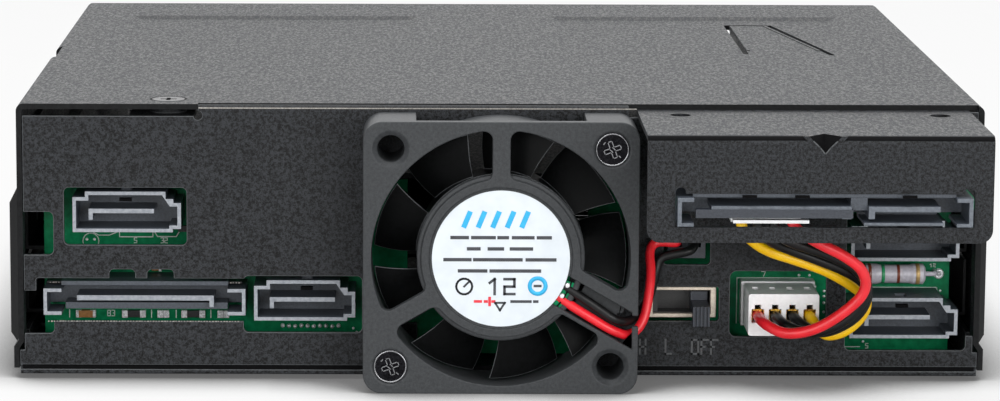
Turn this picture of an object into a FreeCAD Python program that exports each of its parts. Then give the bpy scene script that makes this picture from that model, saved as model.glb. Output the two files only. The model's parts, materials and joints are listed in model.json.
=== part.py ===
import FreeCAD, Part
import math
import os

from FreeCAD import Vector

# Hot swap cage for one half-height 5.25-inch bay: four 2.5-inch drive trays and one slim optical drive.
# X points right and Z up as seen from behind; Y runs from the rear wall to the tray fronts.
# Pieces are drawn with y = 0 on the rear wall's outer face. save() moves them back by half the
# depth, so the origin is the middle of the underside. All sizes are in millimetres.

# Driving dimensions of the case
DEPTH = 130.0          # rear wall to front edge
HALF_WIDTH = 71.0      # to the flat part of a side wall
BULGE = 1.7            # each side wall steps out this far beside the drives
BULGE_Y = (3.5, 6.0)   # the step slopes out between these depths
SKIRT = 0.7            # below the step, the side wall laps this far over the tray's flange
HEIGHT = 40.4
SHEET = 0.8
COVER_FOOT = 0.9       # the cover's side walls end this high
FIT = 0.1              # gap between sheets that lie inside one another
COVER_INNER = HALF_WIDTH - SHEET
BULGE_INNER = HALF_WIDTH + BULGE - SHEET
SHELF_Z = 28.2         # underside of the shelf below the optical drive
LOW_EDGE_Z = 38.6      # rear wall's top edge at its low left end
LIP = 1.0              # rolled lip of the rear wall's top edge
LIP_X = (-44.3, 18.8)

# Drive bays and trays
ROW_Z = (5.7, 15.5)    # underside of the lower and upper trays
TRAY_TALL = 8.7
TRAY_X = (0.7, 71.6)
TRAY_Y = (18.0, 119.4)
TRAY_SHEET = 0.5
TRAY_FLOOR = 0.6
FRONT_Y = (119.4, 129.6)
FRONT_WALL = 4.6       # thickness of the tray front's face
LEVER_FRONT_Y = 129.8
PIVOT = (66.0, 127.2)  # lever pin, x and y
PIN_R = 0.75
KNUCKLE_R = 2.6
LEVER_HALF = 2.6       # half the lever's height
DRIVE_SCREW_Y = (32.5, 109.1)
LEDGE_Z = ((5.0, 5.4), (14.65, 15.25))

# Backplane
BOARD_Y = 9.0
BOARD_THICK = 1.6
BOARD_Z = (1.4, 27.9)
BOARD_SCREWS = ((-16.0, 3.6), (16.0, 3.6), (-38.0, 25.3), (38.0, 25.3))
SOCKET_SHIFT = 4.8     # a drive's plug lies this far off its middle line
PORTS = ((-62.9, 21.2, 16.0), (-36.2, 8.0, 15.0), (51.9, 5.6, 16.0), (51.9, 17.2, 16.0))  # x, z, width
INLET_CORNER = (-67.35, 8.7)

# Fan
FAN = 40.0
FAN_Z = 19.3
FAN_DEPTH = 10.0
FAN_HOLE = 16.0
DUCT_R = 18.8
BASE_R = 11.6
SPOKE = 2.6
ROTOR_R = 12.2
BLADE_R = 18.4
BLADES = 9
BLADE_THICK = 0.6
BLADE_MIDDLE = 5.6     # depth of a blade's middle behind the fan's face
BLADE_RISE = 2.3
BLADE_PHASE = 5.5
BLADE_SECTIONS = ((10.6, 2.9, 0.0), (14.6, 4.3, -1.6), (18.8, 5.5, -5.0))  # reach, half chord, lean
SHAFT_R = 0.74
FAN_BORE_X = (26.1, 28.9)  # cavities of the fan's plug
WIRE_LANE = (-2.7, 2.0)  # edges of the wire groove beside the 330 degree line
WIRE_LANE_DEPTH = 1.9

# Optical drive adapter
BRACKET_X = (20.1, 68.8)
BRACKET_REACH = 25.0
BRACKET_Z = (24.4, 39.6)
ADAPTER_SLOT = ((24.05, 66.15), (26.6, 31.4))
STANDOFFS = ((26.1, -4.3), (63.9, -4.3))
ADAPTER_BOARD_Z = (27.8, 29.0)
HEADER_BORE_X = (34.3, 36.6, 38.9, 41.3)
HEADER_Y = -12.6

# Harness from the backplane to the adapter
WIRE = 1.6
FAN_WIRE = 1.4
PLUG_X = (36.6, 47.0)
PLUG_Z = (6.6, 12.9)
PLUG_Y = (-3.0, 6.0)
CAVITY_X = (38.0, 40.54, 43.08, 45.62)
CAVITY_Z = 9.7


def box(x, y, z):
    """Block between pairs of x, y and z."""
    low = Vector(min(x), min(y), min(z))
    return Part.makeBox(abs(x[1] - x[0]), abs(y[1] - y[0]), abs(z[1] - z[0]), low)


def rod_x(x, y, z, radius):
    return Part.makeCylinder(radius, x[1] - x[0], Vector(x[0], y, z), Vector(1, 0, 0))


def rod_y(x, y, z, radius):
    return Part.makeCylinder(radius, y[1] - y[0], Vector(x, y[0], z), Vector(0, 1, 0))


def rod_z(x, y, z, radius):
    return Part.makeCylinder(radius, z[1] - z[0], Vector(x, y, z[0]), Vector(0, 0, 1))


def cone_y(x, y, z, radii):
    return Part.makeCone(radii[0], radii[1], y[1] - y[0], Vector(x, y[0], z), Vector(0, 1, 0))


def face_of(points):
    return Part.Face(Part.makePolygon(points + points[:1]))


def prism_y(outline, y):
    """Outline of (x, z) points, extruded from y[0] to y[1]."""
    return face_of([Vector(a, y[0], b) for a, b in outline]).extrude(Vector(0, y[1] - y[0], 0))


def prism_x(outline, x):
    """Outline of (y, z) points, extruded from x[0] to x[1]."""
    return face_of([Vector(x[0], a, b) for a, b in outline]).extrude(Vector(x[1] - x[0], 0, 0))


def prism_z(outline, z):
    """Outline of (x, y) points, extruded from z[0] to z[1]."""
    return face_of([Vector(a, b, z[0]) for a, b in outline]).extrude(Vector(0, 0, z[1] - z[0]))


def join(*shapes):
    return shapes[0].fuse(list(shapes[1:])).removeSplitter()


def soften(shape, radius, direction, wanted=lambda p: True):
    """Round the straight edges that run along a direction and whose middles are wanted."""
    edges = []
    for edge in shape.Edges:
        if isinstance(edge.Curve, Part.Line):
            tangent = edge.Curve.Direction
            if abs(abs(tangent.dot(direction)) - 1) < 1e-6 and wanted(edge.CenterOfMass):
                edges.append(edge)
    return shape.makeFillet(radius, edges)


ALONG_X = Vector(1, 0, 0)
ALONG_Y = Vector(0, 1, 0)
ALONG_Z = Vector(0, 0, 1)


def soft_hole(x, z, radius, y=(-1.0, 2.0)):
    """Rectangular cutter through the rear wall with rounded corners."""
    return soften(box(x, y, z), radius, ALONG_Y)


def mirrored(shape):
    return shape.mirror(Vector(0, 0, 0), Vector(1, 0, 0))


def offset_line(points, distance):
    """Open line moved to its left by a distance, with mitred corners."""
    normals = []
    for (ax, az), (bx, bz) in zip(points, points[1:]):
        length = math.hypot(bx - ax, bz - az)
        normals.append((-(bz - az) / length, (bx - ax) / length))
    moved = []
    for i, (x, z) in enumerate(points):
        first = normals[max(i - 1, 0)]
        second = normals[min(i, len(normals) - 1)]
        nx, nz = first[0] + second[0], first[1] + second[1]
        scale = distance * 2 / (nx * nx + nz * nz)
        moved.append((x + nx * scale, z + nz * scale))
    return moved


def tube(points, diameter):
    """Wire of straight runs and tangent arcs: radius 0.45 of the shorter run / tan(half the turn)."""
    route = [Vector(*p) for p in points]
    edges, radii = [], []
    start = route[0]
    for before, corner, after in zip(route, route[1:], route[2:]):
        back, ahead = before - corner, after - corner
        turn = math.pi - back.getAngle(ahead)
        cut = 0.45 * min(back.Length, ahead.Length)
        radius = cut / math.tan(turn / 2)
        radii.append(round(radius, 1))
        back.normalize()
        ahead.normalize()
        inward = back + ahead
        inward.normalize()
        middle = corner + inward * (radius / math.cos(turn / 2) - radius)
        first, last = corner + back * cut, corner + ahead * cut
        edges.append(Part.LineSegment(start, first).toShape())
        edges.append(Part.Arc(first, middle, last).toShape())
        start = last
    edges.append(Part.LineSegment(start, route[-1]).toShape())
    path = Part.Wire(edges)
    ring = Part.Wire(Part.makeCircle(diameter / 2, route[0], route[1] - route[0]))
    solid = path.makePipeShell([ring], True, False)
    expected = path.Length * math.pi * diameter ** 2 / 4
    print("tube: radii", radii, "length", round(path.Length, 1), "volume", round(solid.Volume / expected, 4))
    return solid


def save(name, *shapes):
    """Write one node as a STEP file, seen from the middle of the underside."""
    shape = shapes[0] if len(shapes) == 1 else Part.makeCompound(list(shapes))
    shape = shape.copy()
    shape.translate(Vector(0, -DEPTH / 2, 0))
    shape.exportStep(os.path.join("parts", name + ".step"))


# Case

def side_line(bulge):
    """Outer line of the right side wall, from its foot to the top edge."""
    return [(HALF_WIDTH + SKIRT, COVER_FOOT), (HALF_WIDTH + SKIRT, 4.1), (HALF_WIDTH + bulge, 5.1),
            (HALF_WIDTH + bulge, 24.7), (HALF_WIDTH, 28.0), (HALF_WIDTH, HEIGHT)]


LEAF_SLOT = 0.9
MOUNT_Y = (8.0, 87.25)
MOUNT_Z = (10.0, 21.84)
MOUNT_R = 1.25
SHELF_SCREW_Y = (30.0, 100.0)
SHELF_SCREW_Z = 33.0
TOP_SCREW = (-48.9, 5.4)
SIDE_SCREW_Y = (25.0, 112.0)
SIDE_SCREW_Z = 2.45


def cover_recess(x):
    """Shallow drawn panel with sloping sides: the volume between the flat sheet and its floor."""
    depth, slope = 0.5, 1.6
    y = (17.0, 111.0)
    rim = [Vector(x[0], y[0], 0), Vector(x[1], y[0], 0), Vector(x[1], y[1], 0), Vector(x[0], y[1], 0)]
    floor = []
    for sx, sy, corner in zip((1, -1, -1, 1), (1, 1, -1, -1), rim):
        floor.append(corner + Vector(sx * slope, sy * slope, -depth))
    wires = [Part.makePolygon(line + line[:1]) for line in (rim, floor)]
    return Part.makeLoft(wires, True, True)


def leaf_slots():
    """Slots round the leaf that presses the optical drive down; its root is towards the rear."""
    outer = [(41.6, 64.0), (41.6, 102.6), (48.9, 102.6), (55.5, 63.0)]
    slots = []
    for (ax, ay), (bx, by) in zip(outer, outer[1:]):
        length = math.hypot(bx - ax, by - ay)
        sx, sy = (by - ay) / length * LEAF_SLOT / 2, -(bx - ax) / length * LEAF_SLOT / 2
        slots.append(prism_z([(ax - sx, ay - sy), (bx - sx, by - sy), (bx + sx, by + sy),
                              (ax + sx, ay + sy)], (HEIGHT - 3, HEIGHT + 1)))
        slots.append(rod_z(bx, by, (HEIGHT - 3, HEIGHT + 1), LEAF_SLOT / 2))
    slots.append(rod_z(outer[0][0], outer[0][1], (HEIGHT - 3, HEIGHT + 1), LEAF_SLOT / 2))
    return slots


def leaf_rims():
    """Turned-down edges that stiffen the leaf along its two long sides."""
    z = (HEIGHT - SHEET - 1.2, HEIGHT - SHEET / 2)
    straight = box((42.1, 42.6), (68.0, 101.6), z)
    slanted = prism_z([(48.3, 101.6), (47.8, 101.6), (53.7, 68.0), (54.2, 68.0)], z)
    return [straight, slanted]


def cover_form(inset):
    """Solid whose skin is the cover's outer face (inset 0) or its inner face (inset SHEET).

    The flat form runs the whole depth; the stepped one joins in where a plan with slanted corners lets it.
    """
    forms = []
    for bulge in (0.0, BULGE):
        side = side_line(bulge)
        outline = side + [(-x, z) for x, z in reversed(side)]
        if inset:
            outline = offset_line(outline, inset)
        forms.append(prism_y(outline, (0.0, DEPTH)))
    near, far = HALF_WIDTH - inset, HALF_WIDTH + BULGE - inset
    plan = [(near, BULGE_Y[0]), (far, BULGE_Y[1]), (far, DEPTH), (-far, DEPTH), (-far, BULGE_Y[1]),
            (-near, BULGE_Y[0])]
    return join(forms[0], forms[1].common(prism_z(plan, (0.0, HEIGHT))))


def top_cover():
    cover = cover_form(0.0).cut(cover_form(SHEET))
    cover = soften(cover, 1.1, ALONG_Y, lambda p: p.z > HEIGHT - 0.1)
    under_top = HEIGHT - SHEET
    for x in ((-61.4, -11.4), (11.4, 61.4)):
        recess = cover_recess(x)
        below = recess.copy()
        below.translate(Vector(0, 0, under_top))
        recess.translate(Vector(0, 0, HEIGHT))
        cover = cover.fuse(below).cut(recess)
    cuts = leaf_slots()
    cuts.append(box((LIP_X[0], COVER_INNER), (-1.0, LIP + 0.15), (HEIGHT - 2, HEIGHT + 1)))
    cuts.append(box((-HALF_WIDTH - 1, -HALF_WIDTH + 1.1), (54.0, 67.0), (37.2, HEIGHT + 1)))
    cuts.append(Part.makeCone(1.5, 2.5, SHEET, Vector(TOP_SCREW[0], TOP_SCREW[1], under_top)))
    for side in (-1, 1):
        wall = sorted((side * (COVER_INNER - 1), side * (HALF_WIDTH + BULGE + 1)))
        for y in MOUNT_Y:
            for z in MOUNT_Z:
                cuts.append(rod_x(wall, y, z, MOUNT_R))
        for y in SHELF_SCREW_Y:
            cuts.append(rod_x(wall, y, SHELF_SCREW_Z, 1.5))
        for y in SIDE_SCREW_Y:
            cuts.append(rod_x(wall, y, SIDE_SCREW_Z, 1.25))
        for y in (26.0, 62.0, 98.0):
            cuts.append(box(wall, (y, y + 12.0), (LEDGE_Z[1][1], 18.4)))
    cover = cover.cut(cuts)
    ledges = []
    for side in (-1, 1):
        for y in (26.0, 62.0, 98.0):
            reach = sorted((side * (BULGE_INNER - 2.2), side * (BULGE_INNER + 0.2)))
            ledges.append(box(reach, (y + 0.3, y + 11.7), LEDGE_Z[1]))
    return join(cover, *ledges, *leaf_rims())


def rear_wall_holes():
    holes = [
        soft_hole((-64.1, -46.05), (19.4, 27.95), 0.75),
        soft_hole((-72.0, -65.7), (17.9, 24.3), 0.75),
        soft_hole((-37.7, -20.2), (6.35, 14.8), 0.75),
        soft_hole((-68.3, -37.0), (7.95, 14.4), 0.3),
        soft_hole((-72.0, -65.7), (6.1, 12.5), 0.75),
        soft_hole((-57.5, -53.7), (13.8, 15.75), 0.7),
        soft_hole((-51.9, -48.0), (13.8, 15.75), 0.7),
        soft_hole((24.2, 31.1), (16.7, 22.0), 0.6),
        soft_hole((21.9, 32.5), (8.2, 13.4), 0.5),
        soft_hole((34.1, 48.3), (5.9, 15.75), 1.0),
        soft_hole((51.2, 69.0), (3.9, 24.8), 0.75),
        box((68.0, 72.0), (-1.0, 2.0), (6.1, 24.8)),
        soft_hole((22.0, 66.4), (27.2, 37.6), 1.0),
        rod_y(0.0, (-1.0, 2.0), FAN_Z, DUCT_R),
        rod_y(LIP_X[0], (-1.0, 2.0), LOW_EDGE_Z + 0.1, 0.65),
        rod_x((-72.0, 72.0), -0.2, SHEET + 0.25, 0.4),
    ]
    for sx, sz in ((1, 1), (-1, -1)):
        holes.append(rod_y(sx * FAN_HOLE, (-1.0, 2.0), FAN_Z + sz * FAN_HOLE, 1.45))
    return holes


def board_foot(x, z, low, high):
    """Tab that stands against the backplane, with its screw hole."""
    tab = box((x - 4, x + 4), (BOARD_Y - SHEET, BOARD_Y), (low, high))
    return tab.cut(rod_y(x, (0.0, 20.0), z, 1.25))


def base_tray():
    half = COVER_INNER - FIT
    wide = half + SKIRT
    floor = box((-wide, wide), (0.0, DEPTH - 0.5), (0.0, SHEET))
    wall = box((-half, half), (0.0, SHEET), (0.0, LOW_EDGE_Z))
    wall_foot = box((-wide, wide), (0.0, SHEET), (0.0, 3.6))
    raised = box(LIP_X, (0.0, SHEET), (LOW_EDGE_Z - 1, HEIGHT - 0.15))
    lip = box(LIP_X, (0.0, LIP), (HEIGHT - 0.15 - SHEET, HEIGHT - 0.15))
    high = soften(join(raised, lip), 0.75, ALONG_X, lambda p: p.y < 0.1 and p.z > HEIGHT - 1)
    right = box((BRACKET_X[1] + 0.2, half), (0.0, SHEET), (LOW_EDGE_Z - 1, HEIGHT - SHEET - FIT))
    body = join(floor, wall, wall_foot)
    body = soften(body, 0.3, ALONG_X, lambda p: p.y < 0.1 and p.z < 0.1)
    flanges = []
    for side in (-1, 1):
        flange = box(sorted((side * (wide - SHEET), side * wide)), (6.5, 118.8), (0.4, LEDGE_Z[0][1]))
        for y in SIDE_SCREW_Y:
            flange = flange.cut(rod_x(sorted((side * 66.0, side * 73.0)), y, SIDE_SCREW_Z, 1.2))
        flanges.append(flange)
    ear = box((-54.5, -44.9), (0.4, 9.3), (LOW_EDGE_Z - SHEET, LOW_EDGE_Z))
    boss = rod_z(TOP_SCREW[0], TOP_SCREW[1], (LOW_EDGE_Z - 0.2, HEIGHT - SHEET), 2.6)
    feet = [board_foot(x, z, 0.4, 6.2) for x, z in BOARD_SCREWS[:2]]
    body = join(body, high, right, ear, boss, *flanges, *feet)
    holes = rear_wall_holes()
    holes.append(rod_z(TOP_SCREW[0], TOP_SCREW[1], (30.0, 42.0), 1.25))
    return body.cut(holes)


def odd_shelf():
    """Shelf that carries the optical drive, with its side flanges and lanced guides."""
    half = COVER_INNER - FIT
    y = (1.4, DEPTH - 1.0)
    parts = [box((-half, half), y, (SHELF_Z, SHELF_Z + SHEET))]
    windows = []
    for side in (-1, 1):
        flange = box(sorted((side * (half - SHEET), side * half)), (12.0, 120.0), (SHELF_Z + 0.4, 36.0))
        for hole_y in SHELF_SCREW_Y:
            flange = flange.cut(rod_x(sorted((side * 66.0, side * 72.0)), hole_y, SHELF_SCREW_Z, 1.2))
        parts.append(flange)
        for start in (20.0, 80.0):
            guide = sorted((side * 64.4, side * (64.4 + SHEET)))
            parts.append(box(guide, (start, start + 34.0), (SHELF_Z + 0.4, 34.0)))
            hole = sorted((side * (64.4 - 5.6), side * 64.4))
            windows.append(box(hole, (start, start + 34.0), (SHELF_Z - 1, SHELF_Z + 0.75)))
    for x, z in BOARD_SCREWS[2:]:
        parts.append(board_foot(x, z, 22.6, SHELF_Z + 0.4))
    shelf = join(*parts)
    for hole in windows:
        shelf = shelf.cut(hole.common(box((-80, 80), (0, DEPTH), (SHELF_Z - 1, SHELF_Z + SHEET))))
    return shelf.cut([box((-54.0, 54.0), (0.0, 8.0), (SHELF_Z - 1, SHELF_Z + 1))])


def bay_divider():
    """Upright between the two columns of trays, with a foot, a head and ledges for the trays."""
    y = (16.5, 118.6)
    parts = [box((-0.3, 0.3), y, (SHEET, SHELF_Z))]
    parts.append(box((-4.0, 4.0), y, (SHEET, SHEET + 0.6)))
    parts.append(box((-4.0, 4.0), y, (SHELF_Z - 0.6, SHELF_Z)))
    for low, high in LEDGE_Z:
        parts.append(box((-2.8, 2.8), y, (low, high)))
    divider = join(*parts)
    cuts = [box((-1, 1), (start, start + 22.0), (7.5, 12.5)) for start in (24.0, 56.0, 88.0)]
    cuts += [box((-1, 1), (start, start + 22.0), (17.5, 23.5)) for start in (24.0, 56.0, 88.0)]
    return divider.cut(cuts)


def cross_recess(x, y, z):
    """Cross-shaped cutter between two heights."""
    return join(box((x - 1.2, x + 1.2), (y - 0.3, y + 0.3), z), box((x - 0.3, x + 0.3), (y - 1.2, y + 1.2), z))


def cover_screws():
    """One countersunk screw on top; low round heads along both sides."""
    x, y = TOP_SCREW
    head = Part.makeCone(1.5, 2.4, SHEET, Vector(x, y, HEIGHT - SHEET))
    flush = join(head, rod_z(x, y, (HEIGHT - 4.0, HEIGHT - 0.2), 1.2))
    screws = [flush.cut(cross_recess(x, y, (HEIGHT - 0.5, HEIGHT + 1)))]
    for side in (-1, 1):
        inward = Vector(-side, 0, 0)
        for y in SHELF_SCREW_Y:
            head = join(rod_x(sorted((side * HALF_WIDTH, side * (HALF_WIDTH + 0.7))), y, SHELF_SCREW_Z, 2.4),
                        Part.makeCylinder(1.15, 3.6, Vector(side * (HALF_WIDTH + 0.2), y, SHELF_SCREW_Z), inward))
            screws.append(head)
        for y in SIDE_SCREW_Y:
            wall_x = HALF_WIDTH + SKIRT
            head = join(rod_x(sorted((side * wall_x, side * (wall_x + 0.6))), y, SIDE_SCREW_Z, 1.6),
                        Part.makeCylinder(1.1, 3.4, Vector(side * (wall_x + 0.2), y, SIDE_SCREW_Z), inward))
            screws.append(head)
    return screws


# Backplane and its connectors

def backplane_board():
    board = box((-67.9, 67.7), (BOARD_Y, BOARD_Y + BOARD_THICK), BOARD_Z)
    cuts = [soft_hole((-13.5, 13.5), (13.0, 30.0), 1.5, (8.0, 12.0))]
    cuts += [rod_y(x, (8.0, 12.0), z, 1.4) for x, z in BOARD_SCREWS]
    return board.cut(cuts)


def board_screws():
    """Pan-head screws: four hold the backplane, two the adapter board."""
    screws = []
    for x, z in BOARD_SCREWS:
        head_y = BOARD_Y + BOARD_THICK
        screws.append(join(rod_y(x, (head_y, head_y + 1.3), z, 2.2),
                           rod_y(x, (BOARD_Y - 2.2, head_y + 0.5), z, 1.15)))
    low = ADAPTER_BOARD_Z[0]
    for x, y in STANDOFFS:
        screws.append(join(rod_z(x, y, (low - 1.2, low), 2.2), rod_z(x, y, (low - 0.6, 33.0), 1.4)))
    return screws


def drive_socket(centre, z):
    """Receptacle for a drive's 22-way plug: body with two tongue slots, end guides."""
    y = (BOARD_Y + BOARD_THICK, BOARD_Y + BOARD_THICK + 6.2)
    body = box((centre - 20.9, centre + 20.9), y, (z - 2.6, z + 2.6))
    cuts = [box((centre - 18.2, centre - 6.6), (y[1] - 4.2, y[1] + 1), (z - 0.9, z + 0.9)),
            box((centre - 4.6, centre + 17.6), (y[1] - 4.2, y[1] + 1), (z - 0.9, z + 0.9)),
            box((centre - 22, centre - 19.4), (y[1] - 3.0, y[1] + 1), (z - 3, z - 0.8)),
            box((centre + 19.4, centre + 22), (y[1] - 3.0, y[1] + 1), (z - 3, z - 0.8))]
    return body.cut(cuts)


def drive_sockets():
    centres = [(side * 36.15 + SOCKET_SHIFT, low + TRAY_FLOOR + 3.5) for side in (-1, 1) for low in ROW_Z]
    return [drive_socket(x, z) for x, z in centres]


def data_port(x, z, width):
    """Seven-way data header with its stepped shroud and L-shaped tongue; x and z are its low corner."""
    right = width - 16.0
    outline = [(0, 0), (14.8 + right, 0), (14.8 + right, 0.5), (16 + right, 0.5), (16 + right, 4.4),
               (14.9 + right, 4.4), (14.9 + right, 5.0), (13.75 + right, 5.0), (13.75 + right, 6.1),
               (1.85, 6.1), (1.85, 5.25), (0, 5.25)]
    cavity = [(0.55, 0.55), (14.25 + right, 0.55), (14.25 + right, 1.05), (15.45 + right, 1.05),
              (15.45 + right, 3.85), (14.35 + right, 3.85), (13.2 + right, 5.55), (2.4, 5.55), (2.4, 4.7),
              (0.55, 4.7)]
    tongue = [(2.3, 1.7), (2.95, 1.7), (2.95, 2.7), (12.0, 2.7), (12.0, 3.4), (2.3, 3.4)]
    front = 0.5
    shell = prism_y([(x + a, z + b) for a, b in outline], (front, BOARD_Y))
    hollow = prism_y([(x + a, z + b) for a, b in cavity], (front - 1, 7.0))
    blade = prism_y([(x + a, z + b) for a, b in tongue], (front + 0.8, 7.5))
    latch = box((x + 7.0, x + 8.6), (front + 1.2, front + 3.6), (z + 5.4, z + 6.5))
    return join(shell.cut([hollow, latch]), blade)


def power_inlet():
    """Fifteen-way power inlet: end hooks, roof and keyed tongue on a block that sits on the board."""
    x, z = INLET_CORNER
    front = 0.8

    def at(outline, y):
        return prism_y([(x + a, z + b) for a, b in outline], y)

    span = 29.9
    hook = [(0, 0), (2.7, 0), (2.7, 0.55), (0.55, 0.55), (0.55, 3.45), (2.7, 3.45), (2.7, 4.0), (0, 4.0)]
    far_hook = [(span - a, b) for a, b in hook]
    block = at([(0, 0.9), (span, 0.9), (span, 4.0), (27.3, 4.0), (27.3, 5.0), (2.6, 5.0), (2.6, 4.0),
                (0, 4.0)], (6.4, BOARD_Y))
    roof = at([(2.6, 4.35), (27.3, 4.35), (27.3, 5.0), (2.6, 5.0)], (front + 0.8, 6.6))
    tongue = at([(4.9, 2.1), (24.5, 2.1), (24.5, 1.1), (25.2, 1.1), (25.2, 2.9), (4.9, 2.9)],
                (front + 0.6, 6.6))
    ends = [at(hook, (front, 6.6)), at(far_hook, (front, 6.6))]
    return join(block, roof, tongue, *ends)


def fan_header():
    base = box((24.8, 30.6), (5.2, BOARD_Y), (17.2, 21.4))
    pins = [box((x - 0.3, x + 0.3), (3.2, 5.4), (19.8, 20.4)) for x in FAN_BORE_X]
    return join(base, *pins)


def fan_plug():
    body = box((24.9, 30.5), (1.4, 5.1), (17.4, 21.2))
    ribs = [box((x - 0.35, x + 0.35), (1.4, 5.1), (21.1, 21.7)) for x in (25.4, 27.7, 30.0)]
    bores = [box((x - 0.9, x + 0.9), (0.0, 6.0), (19.1, 20.9)) for x in FAN_BORE_X]
    return join(body, *ribs).cut(bores)


def harness_header():
    base = box((PLUG_X[0] - 0.3, PLUG_X[1] + 0.3), (6.1, BOARD_Y), (PLUG_Z[0] - 0.2, PLUG_Z[1] + 0.2))
    pins = [box((x - 0.32, x + 0.32), (1.0, 6.2), (CAVITY_Z - 0.32, CAVITY_Z + 0.32)) for x in CAVITY_X]
    return join(base, *pins)


def harness_plug():
    body = box(PLUG_X, PLUG_Y, PLUG_Z)
    body = soften(body, 0.4, ALONG_Y)
    cuts = []
    for x in CAVITY_X:
        cuts.append(box((x - 0.9, x + 0.9), (PLUG_Y[0] - 1, 5.2), (CAVITY_Z - 1.1, CAVITY_Z + 0.9)))
        cuts.append(box((x - 0.45, x + 0.45), (PLUG_Y[0] - 1, 5.2), (CAVITY_Z + 0.8, CAVITY_Z + 1.55)))
        cuts.append(box((x - 0.45, x + 0.45), (5.0, 7.0), (CAVITY_Z - 0.45, CAVITY_Z + 0.45)))
        cuts.append(box((x - 0.4, x + 0.4), (0.2, 2.6), (CAVITY_Z + 1.4, PLUG_Z[1] + 1)))
    return body.cut(cuts)


SWITCH_X = (22.3, 32.2)
SWITCH_Z = (8.5, 13.1)
SWITCH_OPENING = ((22.85, 31.35), (9.1, 12.6))
KNOB_X = (28.5, 31.0)
KNOB_TRAVEL = 4.6


def switch_frame():
    """Thin plated plate round the slide switch's opening."""
    return box(SWITCH_X, (1.4, 2.4), SWITCH_Z).cut(box(SWITCH_OPENING[0], (0.0, 3.0), SWITCH_OPENING[1]))


def switch_housing():
    """Moulded body of the slide switch, with the channel that the slider runs in."""
    case = box((SWITCH_X[0] + 0.3, SWITCH_X[1] - 0.3), (2.4, BOARD_Y), (SWITCH_Z[0] + 0.3, SWITCH_Z[1] - 0.3))
    return case.cut(box((KNOB_X[0] - KNOB_TRAVEL - 0.3, KNOB_X[1] + 0.3), (0.0, 5.2), (9.2, 12.5)))


def switch_knob():
    """Sliding actuator: a foot in the channel, a neck, and a ribbed grip that hangs in front of the wall."""
    foot = box(KNOB_X, (2.7, 4.9), (9.5, 12.2))
    neck = box(KNOB_X, (-0.7, 2.9), (9.5, 10.85))
    grip = box(KNOB_X, (-2.2, -0.6), (7.85, 10.85))
    ribs = [box((KNOB_X[0] + i * 0.55, KNOB_X[0] + i * 0.55 + 0.3), (-2.5, -2.0), (7.85, 10.85)) for i in range(5)]
    return join(foot, neck, grip, *ribs)


RESISTOR_X = (54.5, 63.7)
RESISTOR_Z = 14.25
RESISTOR_Y = 6.4


def bleed_resistor():
    """Axial resistor: a barrel with fuller ends, and its two leads bent to the board."""
    half = (RESISTOR_X[1] - RESISTOR_X[0]) / 2
    line = [(0.0, 0.0), (0.0, 1.0), (0.35, 1.55), (1.9, 1.55), (2.5, 1.38), (half, 1.38)]
    line = line + [(2 * half - a, r) for a, r in reversed(line[:-1])]
    points = [Vector(RESISTOR_X[0] + a, RESISTOR_Y - r, RESISTOR_Z) for a, r in line]
    axis = Vector(RESISTOR_X[0], RESISTOR_Y, RESISTOR_Z)
    barrel = face_of(points).revolve(axis, ALONG_X, 360)
    leads = []
    for side, x in ((-1, RESISTOR_X[0]), (1, RESISTOR_X[1])):
        bend = x + side * 1.7
        leads.append(tube([(x, RESISTOR_Y, RESISTOR_Z), (bend, RESISTOR_Y, RESISTOR_Z),
                           (bend, BOARD_Y, RESISTOR_Z)], 0.7))
    return join(barrel, *leads)


CHIPS = ((-61.7, 2.8), (-54.5, 3.4), (-50.1, 1.6), (-45.6, 3.4), (-41.1, 1.6))


def chip_parts():
    """Small surface-mount parts on the rear of the backplane, below the power inlet."""
    parts = [box((x - w / 2, x + w / 2), (BOARD_Y - 0.8, BOARD_Y), (6.95, 7.95)) for x, w in CHIPS]
    parts += [box((x, x + 1.7), (BOARD_Y - 0.5, BOARD_Y), (19.9, 20.8)) for x in (-56.0, -51.4, -47.8)]
    return parts


# Fan: u right, v up from the fan's middle, w inward from its face

def fan_at(shape):
    """Turn a fan piece drawn with w along Z to its place on the rear wall."""
    placed = shape.copy()
    placed.rotate(Vector(0, 0, 0), ALONG_X, 90)
    placed = placed.mirror(Vector(0, 0, 0), ALONG_Y)
    placed.translate(Vector(0, -FAN_DEPTH, FAN_Z))
    return placed


def rod_w(u, v, w, radius):
    return Part.makeCylinder(radius, w[1] - w[0], Vector(u, v, w[0]))


def beam(angle, side, reach, w):
    """Bar along a radius: side is its two edges beside the line, positive clockwise."""
    bar = box(reach, (-side[1], -side[0]), w)
    bar.rotate(Vector(0, 0, 0), ALONG_Z, angle)
    return bar


def fan_opening(start, end, w):
    """Window between two spokes: a ring sector with rounded corners; edges are (angle, offset)."""
    ring = rod_w(0, 0, w, DUCT_R).cut(rod_w(0, 0, w, BASE_R))
    angles = [start[0] + (end[0] - start[0]) * i / 4 for i in range(5)]
    points = [Vector(0, 0, w[0])]
    points += [Vector(40 * math.cos(math.radians(a)), 40 * math.sin(math.radians(a)), w[0]) for a in angles]
    wedge = face_of(points).extrude(Vector(0, 0, w[1] - w[0]))
    sector = ring.common(wedge)
    sector = sector.cut([beam(start[0], (-start[1], 5), (0, 40), w), beam(end[0], (-5, end[1]), (0, 40), w)])
    return soften(sector, 1.3, ALONG_Z)


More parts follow.
